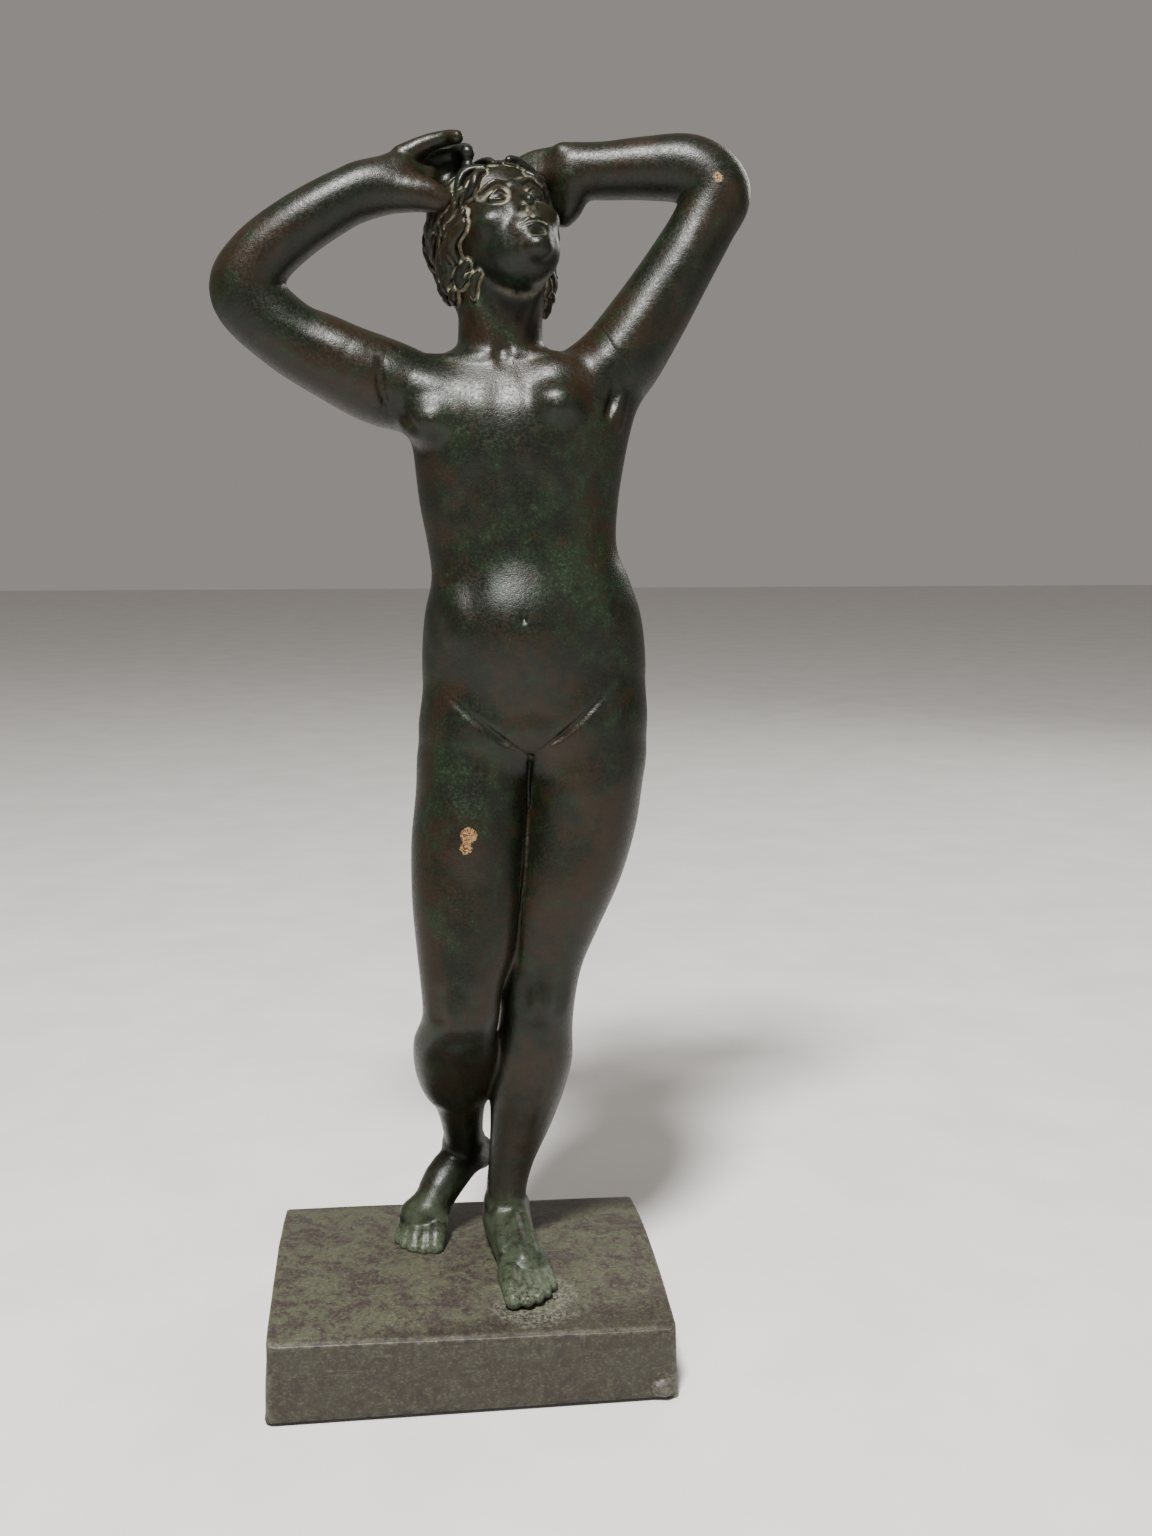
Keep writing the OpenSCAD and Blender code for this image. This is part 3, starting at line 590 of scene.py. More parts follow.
def comb_hair(clay):
    """Short wavy locks that lie on the head, combed back from the face and down at the nape."""
    rng = np.random.default_rng(7)
    radii = np.array([18.4, 21, 20])
    nape = 339
    middle = np.array([0, 2.4, 1])
    locks = []
    for ring, lift in enumerate(np.radians([74, 57, 41, 26, 12, -2, -16, -30, -44, -58])):
        count = max(6, int(round(34 * math.cos(lift))))
        for n in range(count):
            around = 2 * math.pi * (n + 0.5 * (ring % 2) + rng.uniform(-0.3, 0.3)) / count
            up = lift + rng.uniform(-0.1, 0.1)
            way = np.array([math.sin(around) * math.cos(up), -math.cos(around) * math.cos(up),
                            math.sin(up)])
            phase, size = rng.uniform(0, 6.28), rng.uniform(0.68, 1.05)
            drift, kink = rng.uniform(-1, 1), rng.uniform(4.4, 7.6)
            spot = middle + way * radii
            brow = 6.8 - 0.045 * spot[0] ** 2
            if spot[1] < -4 and spot[2] < max(brow, -4):
                continue
            if spot[2] < -8 and spot[1] < -1:
                continue
            if (HEAD_TURN @ spot + HEAD_AT)[2] > nape:
                locks.append((spot, phase, size, drift, kink))
    rng.shuffle(locks)
    for spot, phase, size, drift, kink in locks:
        balls, sides, outs = [], [], []
        for step in range(10):
            share = step / 9
            if step > 3 and (HEAD_TURN @ spot + HEAD_AT)[2] < nape:
                balls[-1][3] *= 0.6
                break
            out = (spot - middle) / radii ** 2
            out /= np.linalg.norm(out)
            for _ in range(2):
                gap = clay.sample((HEAD_TURN @ spot + HEAD_AT)[None])[0]
                spot = spot - out * np.clip(gap, -2.5, 2.5)
            comb = np.array([0.3 * spot[0] / 18, 0.9, -0.3 - 0.6 * (spot[1] > 8)])
            comb = comb - out * (comb @ out)
            comb /= np.linalg.norm(comb)
            across = np.cross(out, comb)
            wave = math.sin(phase + kink * share) * 1.5 * size
            curl = 0.9 * math.cos(phase + kink * share)
            lift = 0.2 + 1.3 * math.sin(math.pi * min(1, 0.2 + 0.8 * share)) + 0.5 * curl
            radius = size * (0.55 + 1.15 * math.sin(math.pi * (0.14 + 0.8 * share)))
            balls.append(np.append(spot + out * lift + across * wave, radius))
            sides.append(across)
            outs.append(out)
            spot = spot + comb * 1.5 * size + across * 0.4 * drift
        yield np.array(balls), np.array(sides), np.array(outs)


def model_head():
    clay = Clay([-14, -22, 315], [40, 34, 380], 0.32)

    def put(form, blend):
        clay.add(posed(form, HEAD_TURN, HEAD_AT), blend)

    def take(form, blend):
        clay.cut(posed(form, HEAD_TURN, HEAD_AT), blend)

    def both(job, balls, blend):
        for side in (balls, mirrored(balls)):
            job(roll(side), blend)

    def both_ovals(job, centre, radii, blend):
        for side in (1, -1):
            job(oval([side * centre[0]] + centre[1:], radii), blend)

    clay.add(stack(TORSO), 0)
    add_neck(clay)
    clay.soften(5)
    # Skull and face, upright and looking along -Y
    put(oval([0, 2, 2], [16.4, 18.6, 17]), 4)
    put(oval([0, -7, -7.6], [13, 12.2, 16.8]), 5)
    put(oval([0, -8.4, -17], [9.6, 9, 7.4]), 4)
    put(oval([0, -9, 5.6], [12.4, 10.4, 8.4]), 4)
    put(oval([0, -16, -21.6], [4.2, 3.6, 3.4]), 3)
    both_ovals(put, [9, -12.6, -8.2], [4.2, 4, 3.6], 3.5)
    both_ovals(take, [5.9, -20.8, -2.8], [4.6, 3.2, 2.7], 2)
    both(put, [[2.2, -19, 0.4, 0.9], [5.8, -19.3, 1.6, 0.9], [10, -16.4, 0.6, 0.7]], 1.6)
    both_ovals(put, [5.7, -15.7, -2.9], [3.2, 3.2, 3.1], 0.3)
    both(put, [[2.9, -17.7, -3.4, 0.5], [4.3, -18.8, -1.9, 0.6], [6.2, -18.95, -1.6, 0.6],
               [8.5, -17.4, -3, 0.5]], 0.45)
    both(put, [[3, -17.7, -3.5, 0.4], [4.6, -18.5, -4.5, 0.5], [6.4, -18.5, -4.6, 0.5],
               [8.3, -17.3, -3.3, 0.4]], 0.5)
    put(roll([[0, -17.8, -0.6, 2], [0, -18.6, -5, 2.4], [0, -18.8, -10, 2.9]]), 2)
    put(roll([[0, -18.9, 0.6, 1.3], [0, -20.3, -4, 1.2], [0, -22, -8.4, 1.4],
              [0, -22.6, -10, 1.6]]), 1.1)
    both_ovals(put, [1.95, -20.5, -10.8], [1.2, 1.6, 1.1], 0.6)
    both_ovals(take, [1.1, -21.3, -11.9], [0.55, 0.8, 0.5], 0.3)
    put(oval([0, -16.4, -15.2], [5.4, 3.4, 4.6]), 2.6)
    both(put, [[0, -19.7, -14.9, 0.7], [1.5, -19.7, -14.6, 0.8], [4.2, -18, -15.6, 0.4]], 0.5)
    both(put, [[0, -19.5, -16.9, 0.95], [1.5, -19.4, -16.8, 0.9], [3.8, -18, -15.9, 0.4]], 0.5)
    both(take, [[0, -20.7, -15.8, 0.26], [1.8, -20.3, -15.7, 0.26], [4.3, -18.6, -15.7, 0.26]],
         0.3)
    take(oval([0, -20.2, -19], [2.8, 1.5, 1.1]), 1.3)
    take(roll([[0, -20.8, -12.8, 0.4], [0, -20.4, -14, 0.4]]), 0.8)
    # Hair: a cap, then locks that are combed back from the face
    put(oval([0, 3.4, 3.6], [17.8, 19, 17.4]), 1.6)
    put(oval([0, 11, -8], [17, 11, 13.4]), 3)
    for balls, across, out in list(comb_hair(clay)):
        put(roll(balls, 1), 0.35)
        for shift in (-0.8, 0.8):
            strand = balls.copy()
            strand[:, :3] += across * (shift * balls[:, 3:] * 0.7) + out * 0.4 * balls[:, 3:]
            strand[:, 3] *= 0.5
            put(roll(strand, 1), 0.15)
    clay.end_at(NECK_SEAM, [0, 0, -1])
    return clay


# ---- from clay to metal

# How far in and out of the skin the clay is read, in millimetres
HOLLOW_REACH = 0.8
PROUD_REACH = 1.6


def read_vectors(mesh, label):
    values = np.empty(3 * len(mesh.vertices))
    mesh.vertices.foreach_get(label, values)
    return values.reshape(-1, 3)


def cast(name, clay, finish, triangles, slot, *nodes):
    """Casts the clay as a mesh in metres, and notes how hollow and how proud each place is."""
    reach = 3 * clay.cell
    volume = openvdb.FloatGrid(reach)
    volume.copyFromArray(np.clip(clay.depth, -reach, reach))
    points, quads = volume.convertToQuads()
    mesh = bpy.data.meshes.new(name)
    mesh.vertices.add(len(points))
    mesh.vertices.foreach_set("co", (points * clay.cell).astype(np.float32).ravel())
    mesh.loops.add(4 * len(quads))
    mesh.loops.foreach_set("vertex_index", quads[:, ::-1].astype(np.int32).ravel())
    mesh.polygons.add(len(quads))
    mesh.polygons.foreach_set("loop_start", 4 * np.arange(len(quads), dtype=np.int32))
    mesh.update(calc_edges=True)
    rough = show(name, mesh)
    if 2 * len(quads) > triangles:
        thin = rough.modifiers.new("Thin", 'DECIMATE')
        thin.ratio = triangles / (2 * len(quads))
    depsgraph = bpy.context.evaluated_depsgraph_get()
    done = bpy.data.meshes.new_from_object(rough.evaluated_get(depsgraph))
    bpy.data.objects.remove(rough)
    shell = bmesh.new()
    shell.from_mesh(done)
    drop_chips(shell)
    bmesh.ops.recalc_face_normals(shell, faces=shell.faces)
    shell.to_mesh(done)
    shell.free()
    done.shade_smooth()
    places = read_vectors(done, "co") + clay.low
    outward = read_vectors(done, "normal")
    fine_hollow = 1 - clay.sample(places + HOLLOW_REACH * outward) / HOLLOW_REACH
    proud = 1 + clay.sample(places - PROUD_REACH * outward) / PROUD_REACH
    for label, values in (("fine_hollow", fine_hollow), ("proud", proud)):
        layer = done.attributes.new(label, 'FLOAT', 'POINT')
        layer.data.foreach_set("value", np.clip(values, 0, 1).astype(np.float32))
    done.vertices.foreach_set("co", ((places + PLACE) * MM).astype(np.float32).ravel())
    done.update()
    return finish_piece(name, done, finish, slot, *nodes)


def drop_chips(shell):
    """Removes the small closed bubbles that a casting can hold."""
    seen = set()
    parts = []
    for vert in shell.verts:
        if vert in seen:
            continue
        part, queue = [], [vert]
        seen.add(vert)
        while queue:
            v = queue.pop()
            part.append(v)
            for edge in v.link_edges:
                other = edge.other_vert(v)
                if other not in seen:
                    seen.add(other)
                    queue.append(other)
        parts.append(part)
    parts.sort(key=len)
    for part in parts[:-1]:
        bmesh.ops.delete(shell, geom=part, context='VERTS')


def finish_piece(name, mesh, finish, slot, *nodes):
    mesh.name = name
    mesh.materials.clear()
    mesh.materials.append(finish)
    piece = show(name, mesh)
    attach(piece, "root")
    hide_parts(*nodes)
    return piece


# ---- finishes

class Reading:
    """A value on a shader socket. Sums on it add Math nodes."""

    def __init__(self, finish, socket):
        self.finish, self.socket = finish, socket

    def sum(self, operation, *values):
        return self.finish.node('Math', {'operation': operation}, *values)

    def __add__(self, other):
        return self.sum('ADD', self, other)

    def __sub__(self, other):
        return self.sum('SUBTRACT', self, other)

    def __rsub__(self, other):
        return self.sum('SUBTRACT', other, self)

    def __mul__(self, other):
        return self.sum('MULTIPLY', self, other)

    __radd__, __rmul__ = __add__, __mul__

    def rise(self, start, end):
        """0 before start, 1 after end and smooth between; falls if end is before start."""
        low, high = min(start, end), max(start, end)
        up = self.finish.node('MapRange', {'interpolation_type': 'SMOOTHSTEP'},
                              self, low, high)
        return up if start < end else 1 - up


class Finish:
    """A material and the patterns that its surface is made of."""

    def __init__(self, name):
        self.material = bpy.data.materials.new(name)
        self.material.use_nodes = True
        self.tree = self.material.node_tree
        self.tree.nodes.clear()
        self.place = self.node('TexCoord', out='Object')

    def node(self, kind, settings=None, *values, out=0, **named):
        made = self.tree.nodes.new('ShaderNode' + kind)
        for key, value in (settings or {}).items():
            setattr(made, key, value)
        for key, value in list(enumerate(values)) + list(named.items()):
            self.join(value, made.inputs[key])
        return Reading(self, made.outputs[out])

    def join(self, value, socket):
        if isinstance(value, Reading):
            self.tree.links.new(value.socket, socket)
        elif value is not None:
            socket.default_value = value

    def grain(self, size, detail=3.0, rough=0.55, twist=0.0, place=None):
        """Noise whose patches are about a size in millimetres, from 0 to 1."""
        return self.node('TexNoise', {}, place or self.place, None, 1 / (size * MM),
                         detail, rough, 2.0, 0.0, 1.0, twist)

    def stretched(self, scale, turn=(0, 0, 0)):
        return self.node('Mapping', {}, self.place, (0, 0, 0), turn, scale)

    def distance(self, x, y, z):
        """How far it is, in metres, to a place given in millimetres."""
        spot = tuple((np.array([x, y, z]) + PLACE) * MM)
        return self.node('VectorMath', {'operation': 'DISTANCE'}, self.place, spot,
                         out='Value')

    def height(self):
        """The level above the floor in millimetres."""
        return self.node('SeparateXYZ', {}, self.place, out='Z') * (1 / MM)

    def within(self, x, y, z, radius, ragged=0.0, size=2.0):
        """1 inside a ball around a place in millimetres, with a ragged edge."""
        away = self.distance(x, y, z) * (1 / MM)
        if ragged:
            away = away + (self.grain(size, 2) - 0.5) * (2 * ragged)
        return away.rise(radius, radius * 0.72)

    def near(self, x, y, z, radius):
        """1 at a place in millimetres, falling smoothly to 0 at a radius."""
        return self.distance(x, y, z).rise(radius * MM, 0.0)

    def note(self, label):
        return self.node('Attribute', {'attribute_name': label}, out='Fac')

    def mix(self, share, first, second):
        made = self.tree.nodes.new('ShaderNodeMix')
        made.data_type = 'RGBA'
        self.join(share, made.inputs[0])
        for value, socket in ((first, made.inputs[6]), (second, made.inputs[7])):
            self.join(value if isinstance(value, Reading) else (*value, 1), socket)
        return Reading(self, made.outputs[2])

    def coat(self, share, tint):
        """Lays a colour over the ones before it."""
        self.colour = self.mix(share, self.colour, tint)

    def bump(self, height, depth, before=None):
        """Raises the surface by a height from 0 to 1 times a depth in millimetres."""
        made = self.tree.nodes.new('ShaderNodeBump')
        made.inputs['Strength'].default_value = 1
        made.inputs['Distance'].default_value = depth * MM
        self.join(height, made.inputs['Height'])
        self.join(before, made.inputs['Normal'])
        return Reading(self, made.outputs[0])

    def surface(self, **sockets):
        shader = self.tree.nodes.new('ShaderNodeBsdfPrincipled')
        for name, value in sockets.items():
            if isinstance(value, tuple):
                value = (*value, 1)
            self.join(value, shader.inputs[name.replace('_', ' ')])
        last = self.tree.nodes.new('ShaderNodeOutputMaterial')
        self.tree.links.new(shader.outputs[0], last.inputs['Surface'])
        return self.material


UMBER = (0.0115, 0.0068, 0.0030)
BLACK_GREEN = (0.0036, 0.0050, 0.0024)
DEEP_GREEN = (0.0056, 0.0120, 0.0045)
LEAF_GREEN = (0.0135, 0.0280, 0.0100)
PALE_GREEN = (0.112, 0.135, 0.092)
FOOT_GREEN = (0.040, 0.053, 0.031)
RUSSET = (0.0210, 0.0095, 0.0030)
DUST = (0.24, 0.22, 0.16)
BARE = (0.30, 0.17, 0.07)
PLUM = (0.028, 0.019, 0.018)
OLIVE = (0.056, 0.056, 0.036)
MOSS = (0.036, 0.052, 0.024)
SAGE = (0.112, 0.118, 0.078)
ASH = (0.044, 0.036, 0.034)
SOOT = (0.012, 0.009, 0.008)
SIDE_SHADE_BROWN = (0.013, 0.0090, 0.005)
STRAW = (0.105, 0.100, 0.066)
SOLDER = (0.20, 0.21, 0.16)
WORN_EDGE = (0.17, 0.16, 0.11)
SCRATCH = (0.20, 0.20, 0.16)
LUG_GREY = (0.15, 0.13, 0.13)

# Where the patina is greener, and where it is redder, partly as a painted warm reflection: x, y, z
# and radius, in millimetres
GREEN_SPOTS = [(27, -12, 262, 34), (44, -8, 246, 26), (2, -12, 300, 20), (40, -6, 288, 22),
               (-2, -12, 190, 30)]
RUSSET_AND_REFLECTION_SPOTS = [(19, -16, 214, 32), (36, -16, 176, 30), (-6, -10, 262, 20), (24, -16, 90, 34)]
# Bare metal: x, y, z, radius, how ragged, and the size of the ragged grain
BODY_CHIPS = [(1.4, -18.4, 173.8, 3.0, 0.8, 0.9), (0.6, -18.4, 170, 2.3, 0.8, 0.9),
              (-1.4, -20, 158, 1.2, 1.0, 1), (4, -22.6, 120.4, 1, 0.6, 1)]
ARM_CHIPS = [(-64, -3, 339, 1.7, 1.3, 1), (79.6, -1.6, 371, 2, 1.6, 1.2)]


def figure_bronze(name, dusty=0.0, green_feet=False):
    """Waxed brown and green patina, greener in patches, redder in patches (partly a painted warm
    reflection), dusty in the hollows, rubbed on edges.
    """
    f = Finish(name)
    fine, proud = f.note("fine_hollow"), f.note("proud")
    broad = f.grain(26, 3, 0.6, 0.6)
    blotch = f.grain(7, 6, 0.7, 0.2)
    mottle = f.grain(2.2, 5, 0.74)
    grit = f.grain(1.0, 4, 0.72)
    speck = f.grain(0.5, 2, 0.6)
    f.colour = f.mix(broad.rise(0.42, 0.62), BLACK_GREEN, UMBER)
    green_zone = sum(f.near(*spot) for spot in GREEN_SPOTS) * 0.10
    f.coat((blotch + green_zone).rise(0.48, 0.68) * 0.8, DEEP_GREEN)
    f.coat((blotch + green_zone).rise(0.56, 0.74) * grit.rise(0.46, 0.64) * 0.7, LEAF_GREEN)
    # Redder patches: russet patina, and partly a painted warm reflection on the belly, left thigh
    # and left shin.
    russet_and_reflection_zone = sum(f.near(*spot) for spot in RUSSET_AND_REFLECTION_SPOTS) * 0.16
    f.coat((f.grain(8, 5, 0.66) + russet_and_reflection_zone).rise(0.54, 0.76) * 0.45, RUSSET)
    if green_feet:
        low = f.height()
        feet = (low + mottle * 16).rise(62, 44)
        f.coat(feet * blotch.rise(0.3, 0.6) * 0.75, FOOT_GREEN)
        f.coat((low + mottle * 10).rise(42, 32) * grit.rise(0.36, 0.6) * 0.7, PALE_GREEN)
    chips = sum(f.within(*chip) for chip in (BODY_CHIPS if green_feet else ARM_CHIPS))
    rubbed = proud.rise(0.5, 0.95) * blotch.rise(0.34, 0.62)
    f.coat(rubbed * 0.35, RUSSET)
    settled = (fine.rise(0.3 - 0.16 * dusty, 0.85 - 0.25 * dusty) * mottle.rise(0.3, 0.62)
               * (0.10 + 0.8 * dusty))
    f.coat(settled, DUST)
    pale = speck.rise(0.66, 0.78) * blotch.rise(0.44, 0.62)
    f.coat(pale * 0.26, PALE_GREEN)
    scuff = f.grain(3.2, 3, 0.6, 0, f.stretched((1, 1, 0.10), (0.5, 0.3, 0)))
    scuff = scuff.rise(0.70, 0.74) * f.grain(12, 2).rise(0.52, 0.6)
    f.coat(scuff * 0.16, PALE_GREEN)
    bare = chips.rise(0.35, 0.7)
    f.coat(bare * 0.85, f.mix(speck.rise(0.4, 0.6), BARE, RUSSET))
    rough = 0.23 + blotch * 0.10 + grit.rise(0.34, 0.74) * 0.24 + settled * 0.8 + bare * 0.2
    height = grit * 0.62 + mottle * 0.45 + speck * 0.3 + blotch * 1.2 - bare * 0.5
    return f.surface(Base_Color=f.colour, Roughness=rough, Specular_IOR_Level=0.27,
                     Normal=f.bump(height, 0.11))


def plinth_bronze():
    """Mottled olive and plum patina with fine scratches, a rubbed front edge, and the sides
    painted darker than the top as shade.
    """
    f = Finish("Mottled_plinth_bronze")
    blotch = f.grain(11, 6, 0.74, 0.9)
    mottle = f.grain(2.6, 5, 0.74, 0.4)
    grit = f.grain(1.1, 4, 0.72)
    speck = f.grain(0.6, 2, 0.6)
    proud = f.note("proud")
    f.colour = f.mix((blotch * 0.6 + mottle * 0.4).rise(0.42, 0.58), PLUM, OLIVE)
    f.coat(mottle.rise(0.46, 0.62) * blotch.rise(0.36, 0.6) * 0.6, MOSS)
    f.coat(grit.rise(0.50, 0.68) * f.grain(6, 5, 0.7).rise(0.40, 0.60) * 0.6, SAGE)
    f.coat(f.grain(8, 5, 0.7).rise(0.54, 0.68) * 0.5, ASH)
    f.coat(f.grain(3.4, 5, 0.78).rise(0.57, 0.66) * 0.7, SOOT)
    # Painted shade: the upright sides are darker brown than the top.
    f.coat(f.height().rise(26.2, 24.8) * 0.74, SIDE_SHADE_BROWN)
    scratches = 0
    for turn, size in (((0, 0, 0.5), 1.3), ((0, 0, -0.35), 1.6), ((0.2, 0, 1.9), 1.4)):
        line = f.grain(size, 1, 0.5, 0.1, f.stretched((0.06, 1.6, 1), turn))
        scratches = scratches + line.rise(0.68, 0.72)
    scratches = scratches * f.grain(14, 2).rise(0.48, 0.6)
    f.coat(scratches * 0.10, SCRATCH)
    fleck = f.grain(0.8, 4, 0.75, 0.6, f.stretched((0.7, 1, 1)))
    f.coat(fleck.rise(0.44, 0.72) * mottle.rise(0.36, 0.60) * 0.55, STRAW)
    flux = f.within(20, -30, 29, 16, 7, 4) * grit.rise(0.42, 0.62)
    f.coat(flux * 0.4, SOLDER)
    edge = proud.rise(0.35, 0.9) * mottle.rise(0.38, 0.62)
    f.coat(edge * 0.22, WORN_EDGE)
    lug = f.within(60, -49, 3, 7, 2, 2) * speck.rise(0.35, 0.65)
    f.coat(lug * 0.3, LUG_GREY)
    rough = 0.40 + blotch * 0.10 + grit * 0.2 - edge * 0.12
    height = grit * 0.5 + mottle * 0.5 + speck * 0.22 + blotch * 1.4 - scratches * 0.1
    return f.surface(Base_Color=f.colour, Roughness=rough, Specular_IOR_Level=0.42,
                     Normal=f.bump(height, 0.14))


def bare_metal(name, light, dark, rough):
    """Turned or filed metal, dulled in patches."""
    f = Finish(name)
    patch = f.grain(4, 4, 0.6)
    colour = f.mix(patch.rise(0.4, 0.65), light, dark)
    turning = f.grain(0.5, 2, 0.5, 0, f.stretched((1, 1, 6)))
    return f.surface(Base_Color=colour, Metallic=1.0, Roughness=rough + patch * 0.2,
                     Normal=f.bump(turning, 0.02))


def black_felt():
    f = Finish("Black_felt")
    fuzz = f.grain(0.35, 4, 0.7)
    clump = f.grain(2.4, 3, 0.6)
    f.colour = f.mix(fuzz.rise(0.35, 0.7), (0.010, 0.010, 0.011), (0.034, 0.033, 0.033))
    f.coat(clump.rise(0.55, 0.75) * 0.4, (0.05, 0.046, 0.042))
    return f.surface(Base_Color=f.colour, Roughness=0.9 + clump * 0.1, Sheen_Weight=0.35,
                     Sheen_Roughness=0.4, Normal=f.bump(fuzz + clump * 0.6, 0.12))


# ---- plinth and pad

WALL = 3.5
CORNER = 3.0
DRAFT = 0.9
SIDE_HEIGHT = 26.0
ROOF_LEVEL = 15.0


def ease(block, edges, offset, segments):
    bmesh.ops.bevel(block, geom=edges, offset=offset, segments=segments, profile=0.5,
                    affect='EDGES', material=-1)


def as_mesh(block, name, scale=MM):
    """Turns modelled faces into a smooth mesh, in metres unless told otherwise."""
    bmesh.ops.scale(block, vec=(scale, scale, scale), verts=block.verts)
    mesh = bpy.data.meshes.new(name)
    block.to_mesh(mesh)
    block.free()
    mesh.shade_smooth()
    return mesh


def outward_of(vert):
    """The level part of the way out of the surface."""
    return Vector((vert.normal.x, vert.normal.y, 0))


def ruled_block(low, high, step, corner):
    """A block of even small faces with round upright corners, in millimetres."""
    block = bmesh.new()
    bmesh.ops.create_cube(block, size=1)
    size = np.array(high) - low
    bmesh.ops.scale(block, vec=size, verts=block.verts)
    bmesh.ops.translate(block, vec=(np.array(high) + low) / 2, verts=block.verts)
    upright = [e for e in block.edges if abs(e.verts[0].co.z - e.verts[1].co.z) > size[2] / 2]
    ease(block, upright, corner, 5)
    for axis in range(3):
        normal = [0, 0, 0]
        normal[axis] = 1
        for n in range(1, int(size[axis] / step) + 1):
            place = [0, 0, 0]
            place[axis] = low[axis] + size[axis] * n / (int(size[axis] / step) + 1)
            bmesh.ops.bisect_plane(block, geom=block.verts[:] + block.edges[:] + block.faces[:],
                                   plane_co=place, plane_no=normal)
    bmesh.ops.remove_doubles(block, verts=block.verts, dist=0.2 * step)
    return block


def make_plinth(finish):
    """A crowned block with eased and slightly battered edges, hollow underneath."""
    # The lug at the front corner makes the box longer than the block on that side.
    half = plinth_high
    bottom = plinth_low[2]
    block = ruled_block([-half[0], -half[1], bottom], [half[0], half[1], bottom + SIDE_HEIGHT],
                        2.0, CORNER)
    block.normal_update()
    under = [f for f in block.faces if f.normal.z < -0.9]
    bmesh.ops.inset_region(block, faces=under, thickness=WALL, use_even_offset=True)
    under = [f for f in under if f.is_valid]
    hollow = bmesh.ops.extrude_face_region(block, geom=under)
    roof = [g for g in hollow['geom'] if isinstance(g, bmesh.types.BMVert)]
    bmesh.ops.delete(block, geom=under, context='FACES_KEEP_BOUNDARY')
    bmesh.ops.translate(block, vec=(0, 0, ROOF_LEVEL - bottom), verts=roof)
    roof = set(roof)
    rim = [e for e in block.edges if len(e.link_faces) == 2
           and sorted(round(f.normal.z) for f in e.link_faces) == [0, 1]]
    for v in block.verts:
        if v in roof:
            continue
        x, y, z = v.co
        share = (z - bottom) / SIDE_HEIGHT
        outward = outward_of(v)
        top = crown(x, y) + PLACE[2] - 0.3 + 0.3 * noise.noise(Vector((x / 30, y / 30, 2)))
        v.co.z = bottom + share * (top - bottom)
        if outward.length > 0.3 and z > bottom + 0.01:
            dent = 0.25 * noise.noise(Vector((x / 16, y / 16, z / 9 + 5))) + 0.25
            v.co -= outward.normalized() * (DRAFT * share + dent)
    ease(block, rim, 0.4, 2)
    # The lug of metal left at the front corner
    lug = bmesh.ops.create_icosphere(block, subdivisions=4, radius=1)['verts']
    bmesh.ops.scale(block, vec=(4.2, 2.4, 2.9), verts=lug)
    for v in lug:
        v.co *= 1 + 0.22 * noise.noise(v.co * 0.55)
        v.co.x *= 1 + 0.1 * noise.noise(v.co * 1.4 + Vector((3, 1, 0)))
    lug_x = plinth_high[0] - 5.2
    bmesh.ops.translate(block, vec=(lug_x, plinth_low[1] + 2.5, bottom + 2.8), verts=lug)
    for v in lug:
        v.co.z = max(v.co.z, bottom + 0.02)
        v.co.y = max(v.co.y, plinth_low[1] + 0.02)
        v.co.x = min(v.co.x, plinth_high[0] - 0.05)
    block.normal_update()
    values = [min(1, max(0, max((e.calc_face_angle_signed(0) for e in v.link_edges
                                 if len(e.link_faces) == 2), default=0)) * 2.2)
              for v in block.verts]
    mesh = as_mesh(block, "Plinth")
    layer = mesh.attributes.new("proud", 'FLOAT', 'POINT')
    layer.data.foreach_set("value", values)
    return finish_piece("Plinth", mesh, finish, "plinth_bronze", "plinth")


def make_pad(finish):
    """The felt under the plinth, with a soft cut edge."""
    low, high = pad_low, pad_high
    pad = ruled_block(low, high, 3.0, CORNER)
    pad.normal_update()
    for v in pad.verts:
        x, y, z = v.co
        outward = outward_of(v)
        if outward.length > 0.3:
            v.co -= outward.normalized() * (0.22 + 0.22 * noise.noise(Vector((x / 5, y / 5, 2))))
    edges = [e for e in pad.edges if len(e.link_faces) == 2 and e.calc_face_angle(0) > 1.2
             and abs(e.verts[0].co.z - e.verts[1].co.z) < 0.2]
    ease(pad, edges, 0.4, 2)
    return finish_piece("Felt_pad", as_mesh(pad, "Felt_pad"), finish, "black_felt", "base_pad")


# ---- the pieces

make_plinth(plinth_bronze())
make_pad(black_felt())
figure = figure_bronze("Patinated_bronze", 0.05, green_feet=True)
cast("Body", model_body(), figure, 190000, "patinated_bronze", "body")
arms = figure_bronze("Patinated_bronze_arms", 0.05)
cast("Right_arm", model_right_arm(), arms, 90000, "patinated_bronze", "right_arm")
cast("Left_arm", model_left_arm(), arms, 90000, "patinated_bronze", "left_arm")
cast("Head", model_head(), figure_bronze("Dusty_patinated_bronze", 1.1), 180000,
     "patinated_bronze", "head")

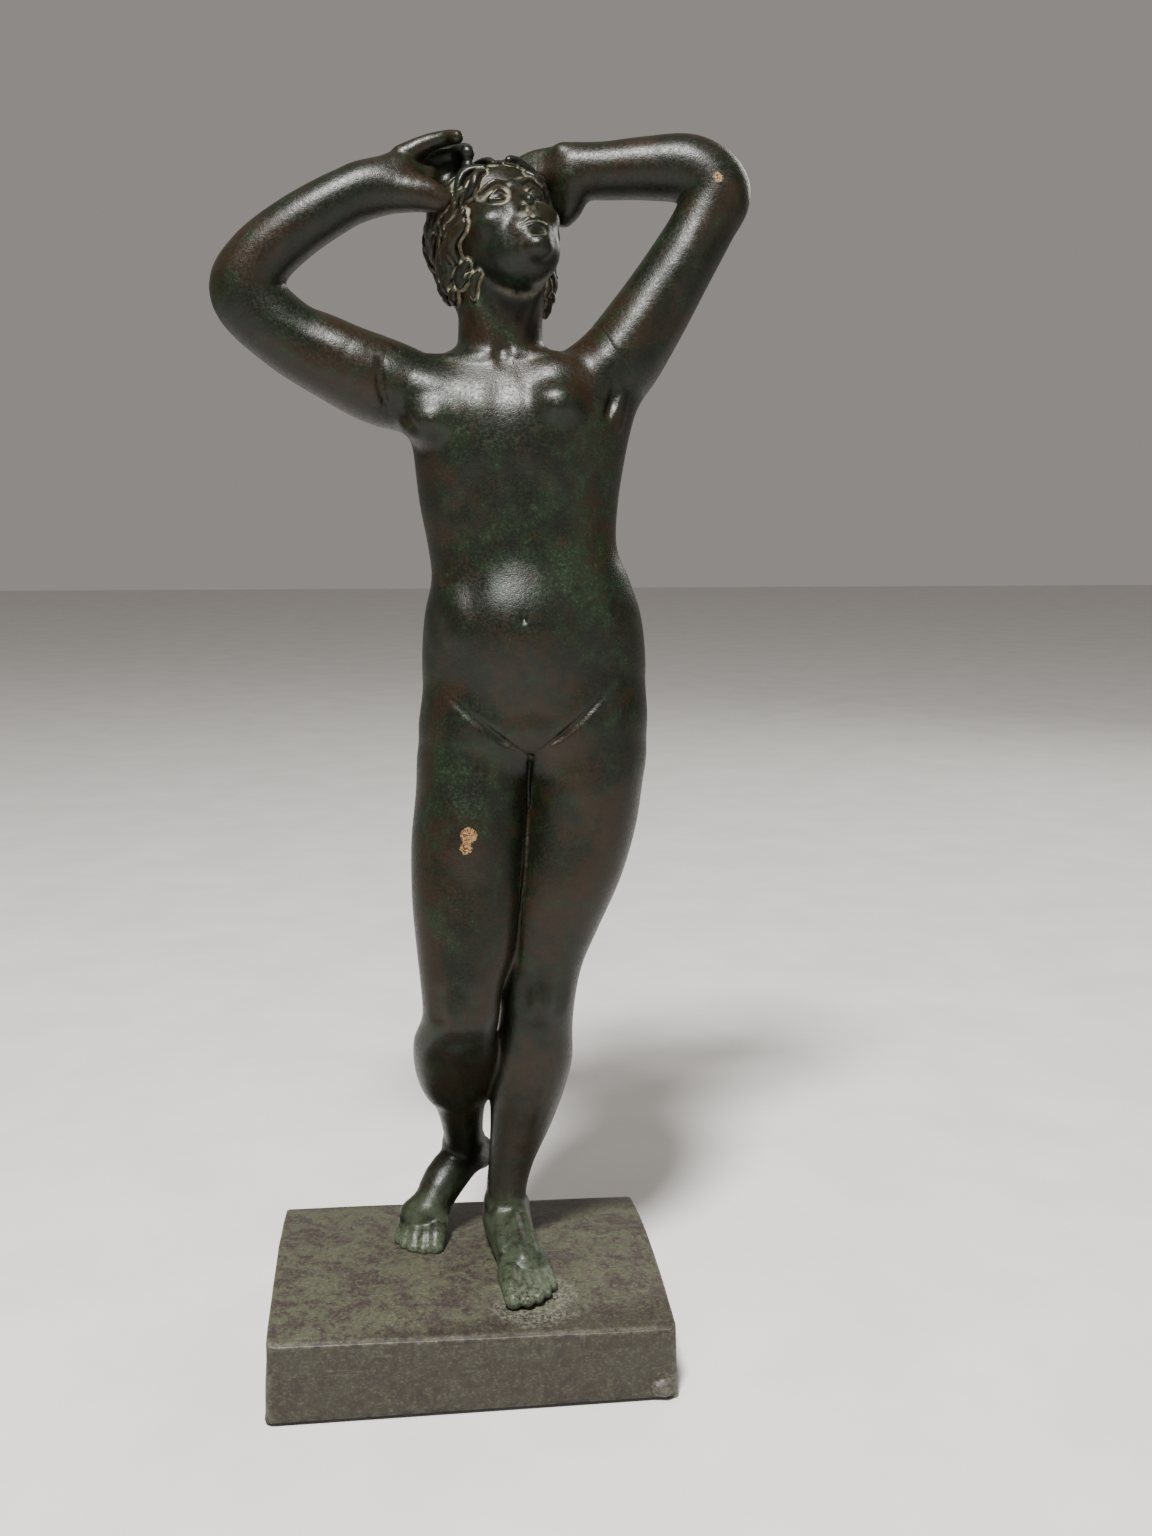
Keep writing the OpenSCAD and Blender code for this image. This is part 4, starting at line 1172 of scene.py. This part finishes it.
steel = bare_metal("Steel", (0.52, 0.52, 0.53), (0.30, 0.29, 0.28), 0.28)
pin_bronze = bare_metal("Bare_bronze", (0.60, 0.40, 0.19), (0.36, 0.21, 0.09), 0.3)
plug_bronze = figure_bronze("Patinated_plugs", 0.1)
FITTINGS = {
    steel: ("right_foot_stud", "left_foot_stud", "foot_washers", "foot_nuts"),
    pin_bronze: ("neck_pin", "right_arm_pin", "left_arm_pin"),
    plug_bronze: ("core_pin_plugs",),
}
for metal, names in FITTINGS.items():
    for name in names:
        mesh = bpy.data.objects[name].data
        for n in range(len(mesh.materials)):
            mesh.materials[n] = metal


# ---- floor, light and camera

def make_floor():
    f = Finish("Pale_floor")
    colour = f.mix(f.grain(60, 4, 0.6).rise(0.3, 0.7), (0.68, 0.67, 0.65), (0.74, 0.73, 0.71))
    pale = f.surface(Base_Color=colour, Roughness=0.7, Normal=f.bump(f.grain(1.2, 3), 0.05))
    sheet = bmesh.new()
    bmesh.ops.create_grid(sheet, x_segments=4, y_segments=4, size=6)
    mesh = as_mesh(sheet, "Floor", 1)
    mesh.materials.append(pale)
    show("Floor", mesh)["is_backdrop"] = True


def aim(thing, place, target):
    thing.location = Vector(place)
    thing.rotation_euler = (Vector(target) - thing.location).to_track_quat('-Z', 'Y').to_euler()


def add_light(name, place, target, size, watts, tint):
    lamp = bpy.data.lights.new(name, 'AREA')
    lamp.shape = 'DISK'
    lamp.size = size
    lamp.energy = watts
    lamp.color = tint
    aim(show(name, lamp), place, target)


make_floor()
CHEST = (0.01, 0, 0.25)
add_light("Key", (-0.24, -0.72, 1.38), CHEST, 0.24, 60, (1, 0.985, 0.96))
add_light("Fill", (1.2, -1.3, 0.7), CHEST, 1.2, 3, (1, 0.95, 0.9))
add_light("Rim", (0.9, 1.0, 0.9), CHEST, 0.7, 6, (1, 0.95, 0.9))
world = bpy.data.worlds.new("Studio")
world.use_nodes = True
sky = world.node_tree.nodes["Background"]
sky.inputs["Color"].default_value = (0.86, 0.80, 0.75, 1)
sky.inputs["Strength"].default_value = 0.33
bpy.context.scene.world = world

FOCAL_LENGTH = 35.16
LOOK_DOWN, LOOK_ASIDE = 9.20, 6.87
lens = bpy.data.cameras.new("Camera")
lens.lens = FOCAL_LENGTH
lens.sensor_width = 36
lens.clip_start = 0.01
camera = show("Camera", lens)
camera.location = (-0.0198, -0.4684, 0.2675)
camera.rotation_euler = (math.radians(90 - LOOK_DOWN), 0, math.radians(-LOOK_ASIDE))
bpy.context.scene.camera = camera

seen_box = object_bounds()
[[list(map(float, corner)) for corner in box] for box in (cad_box, seen_box)]
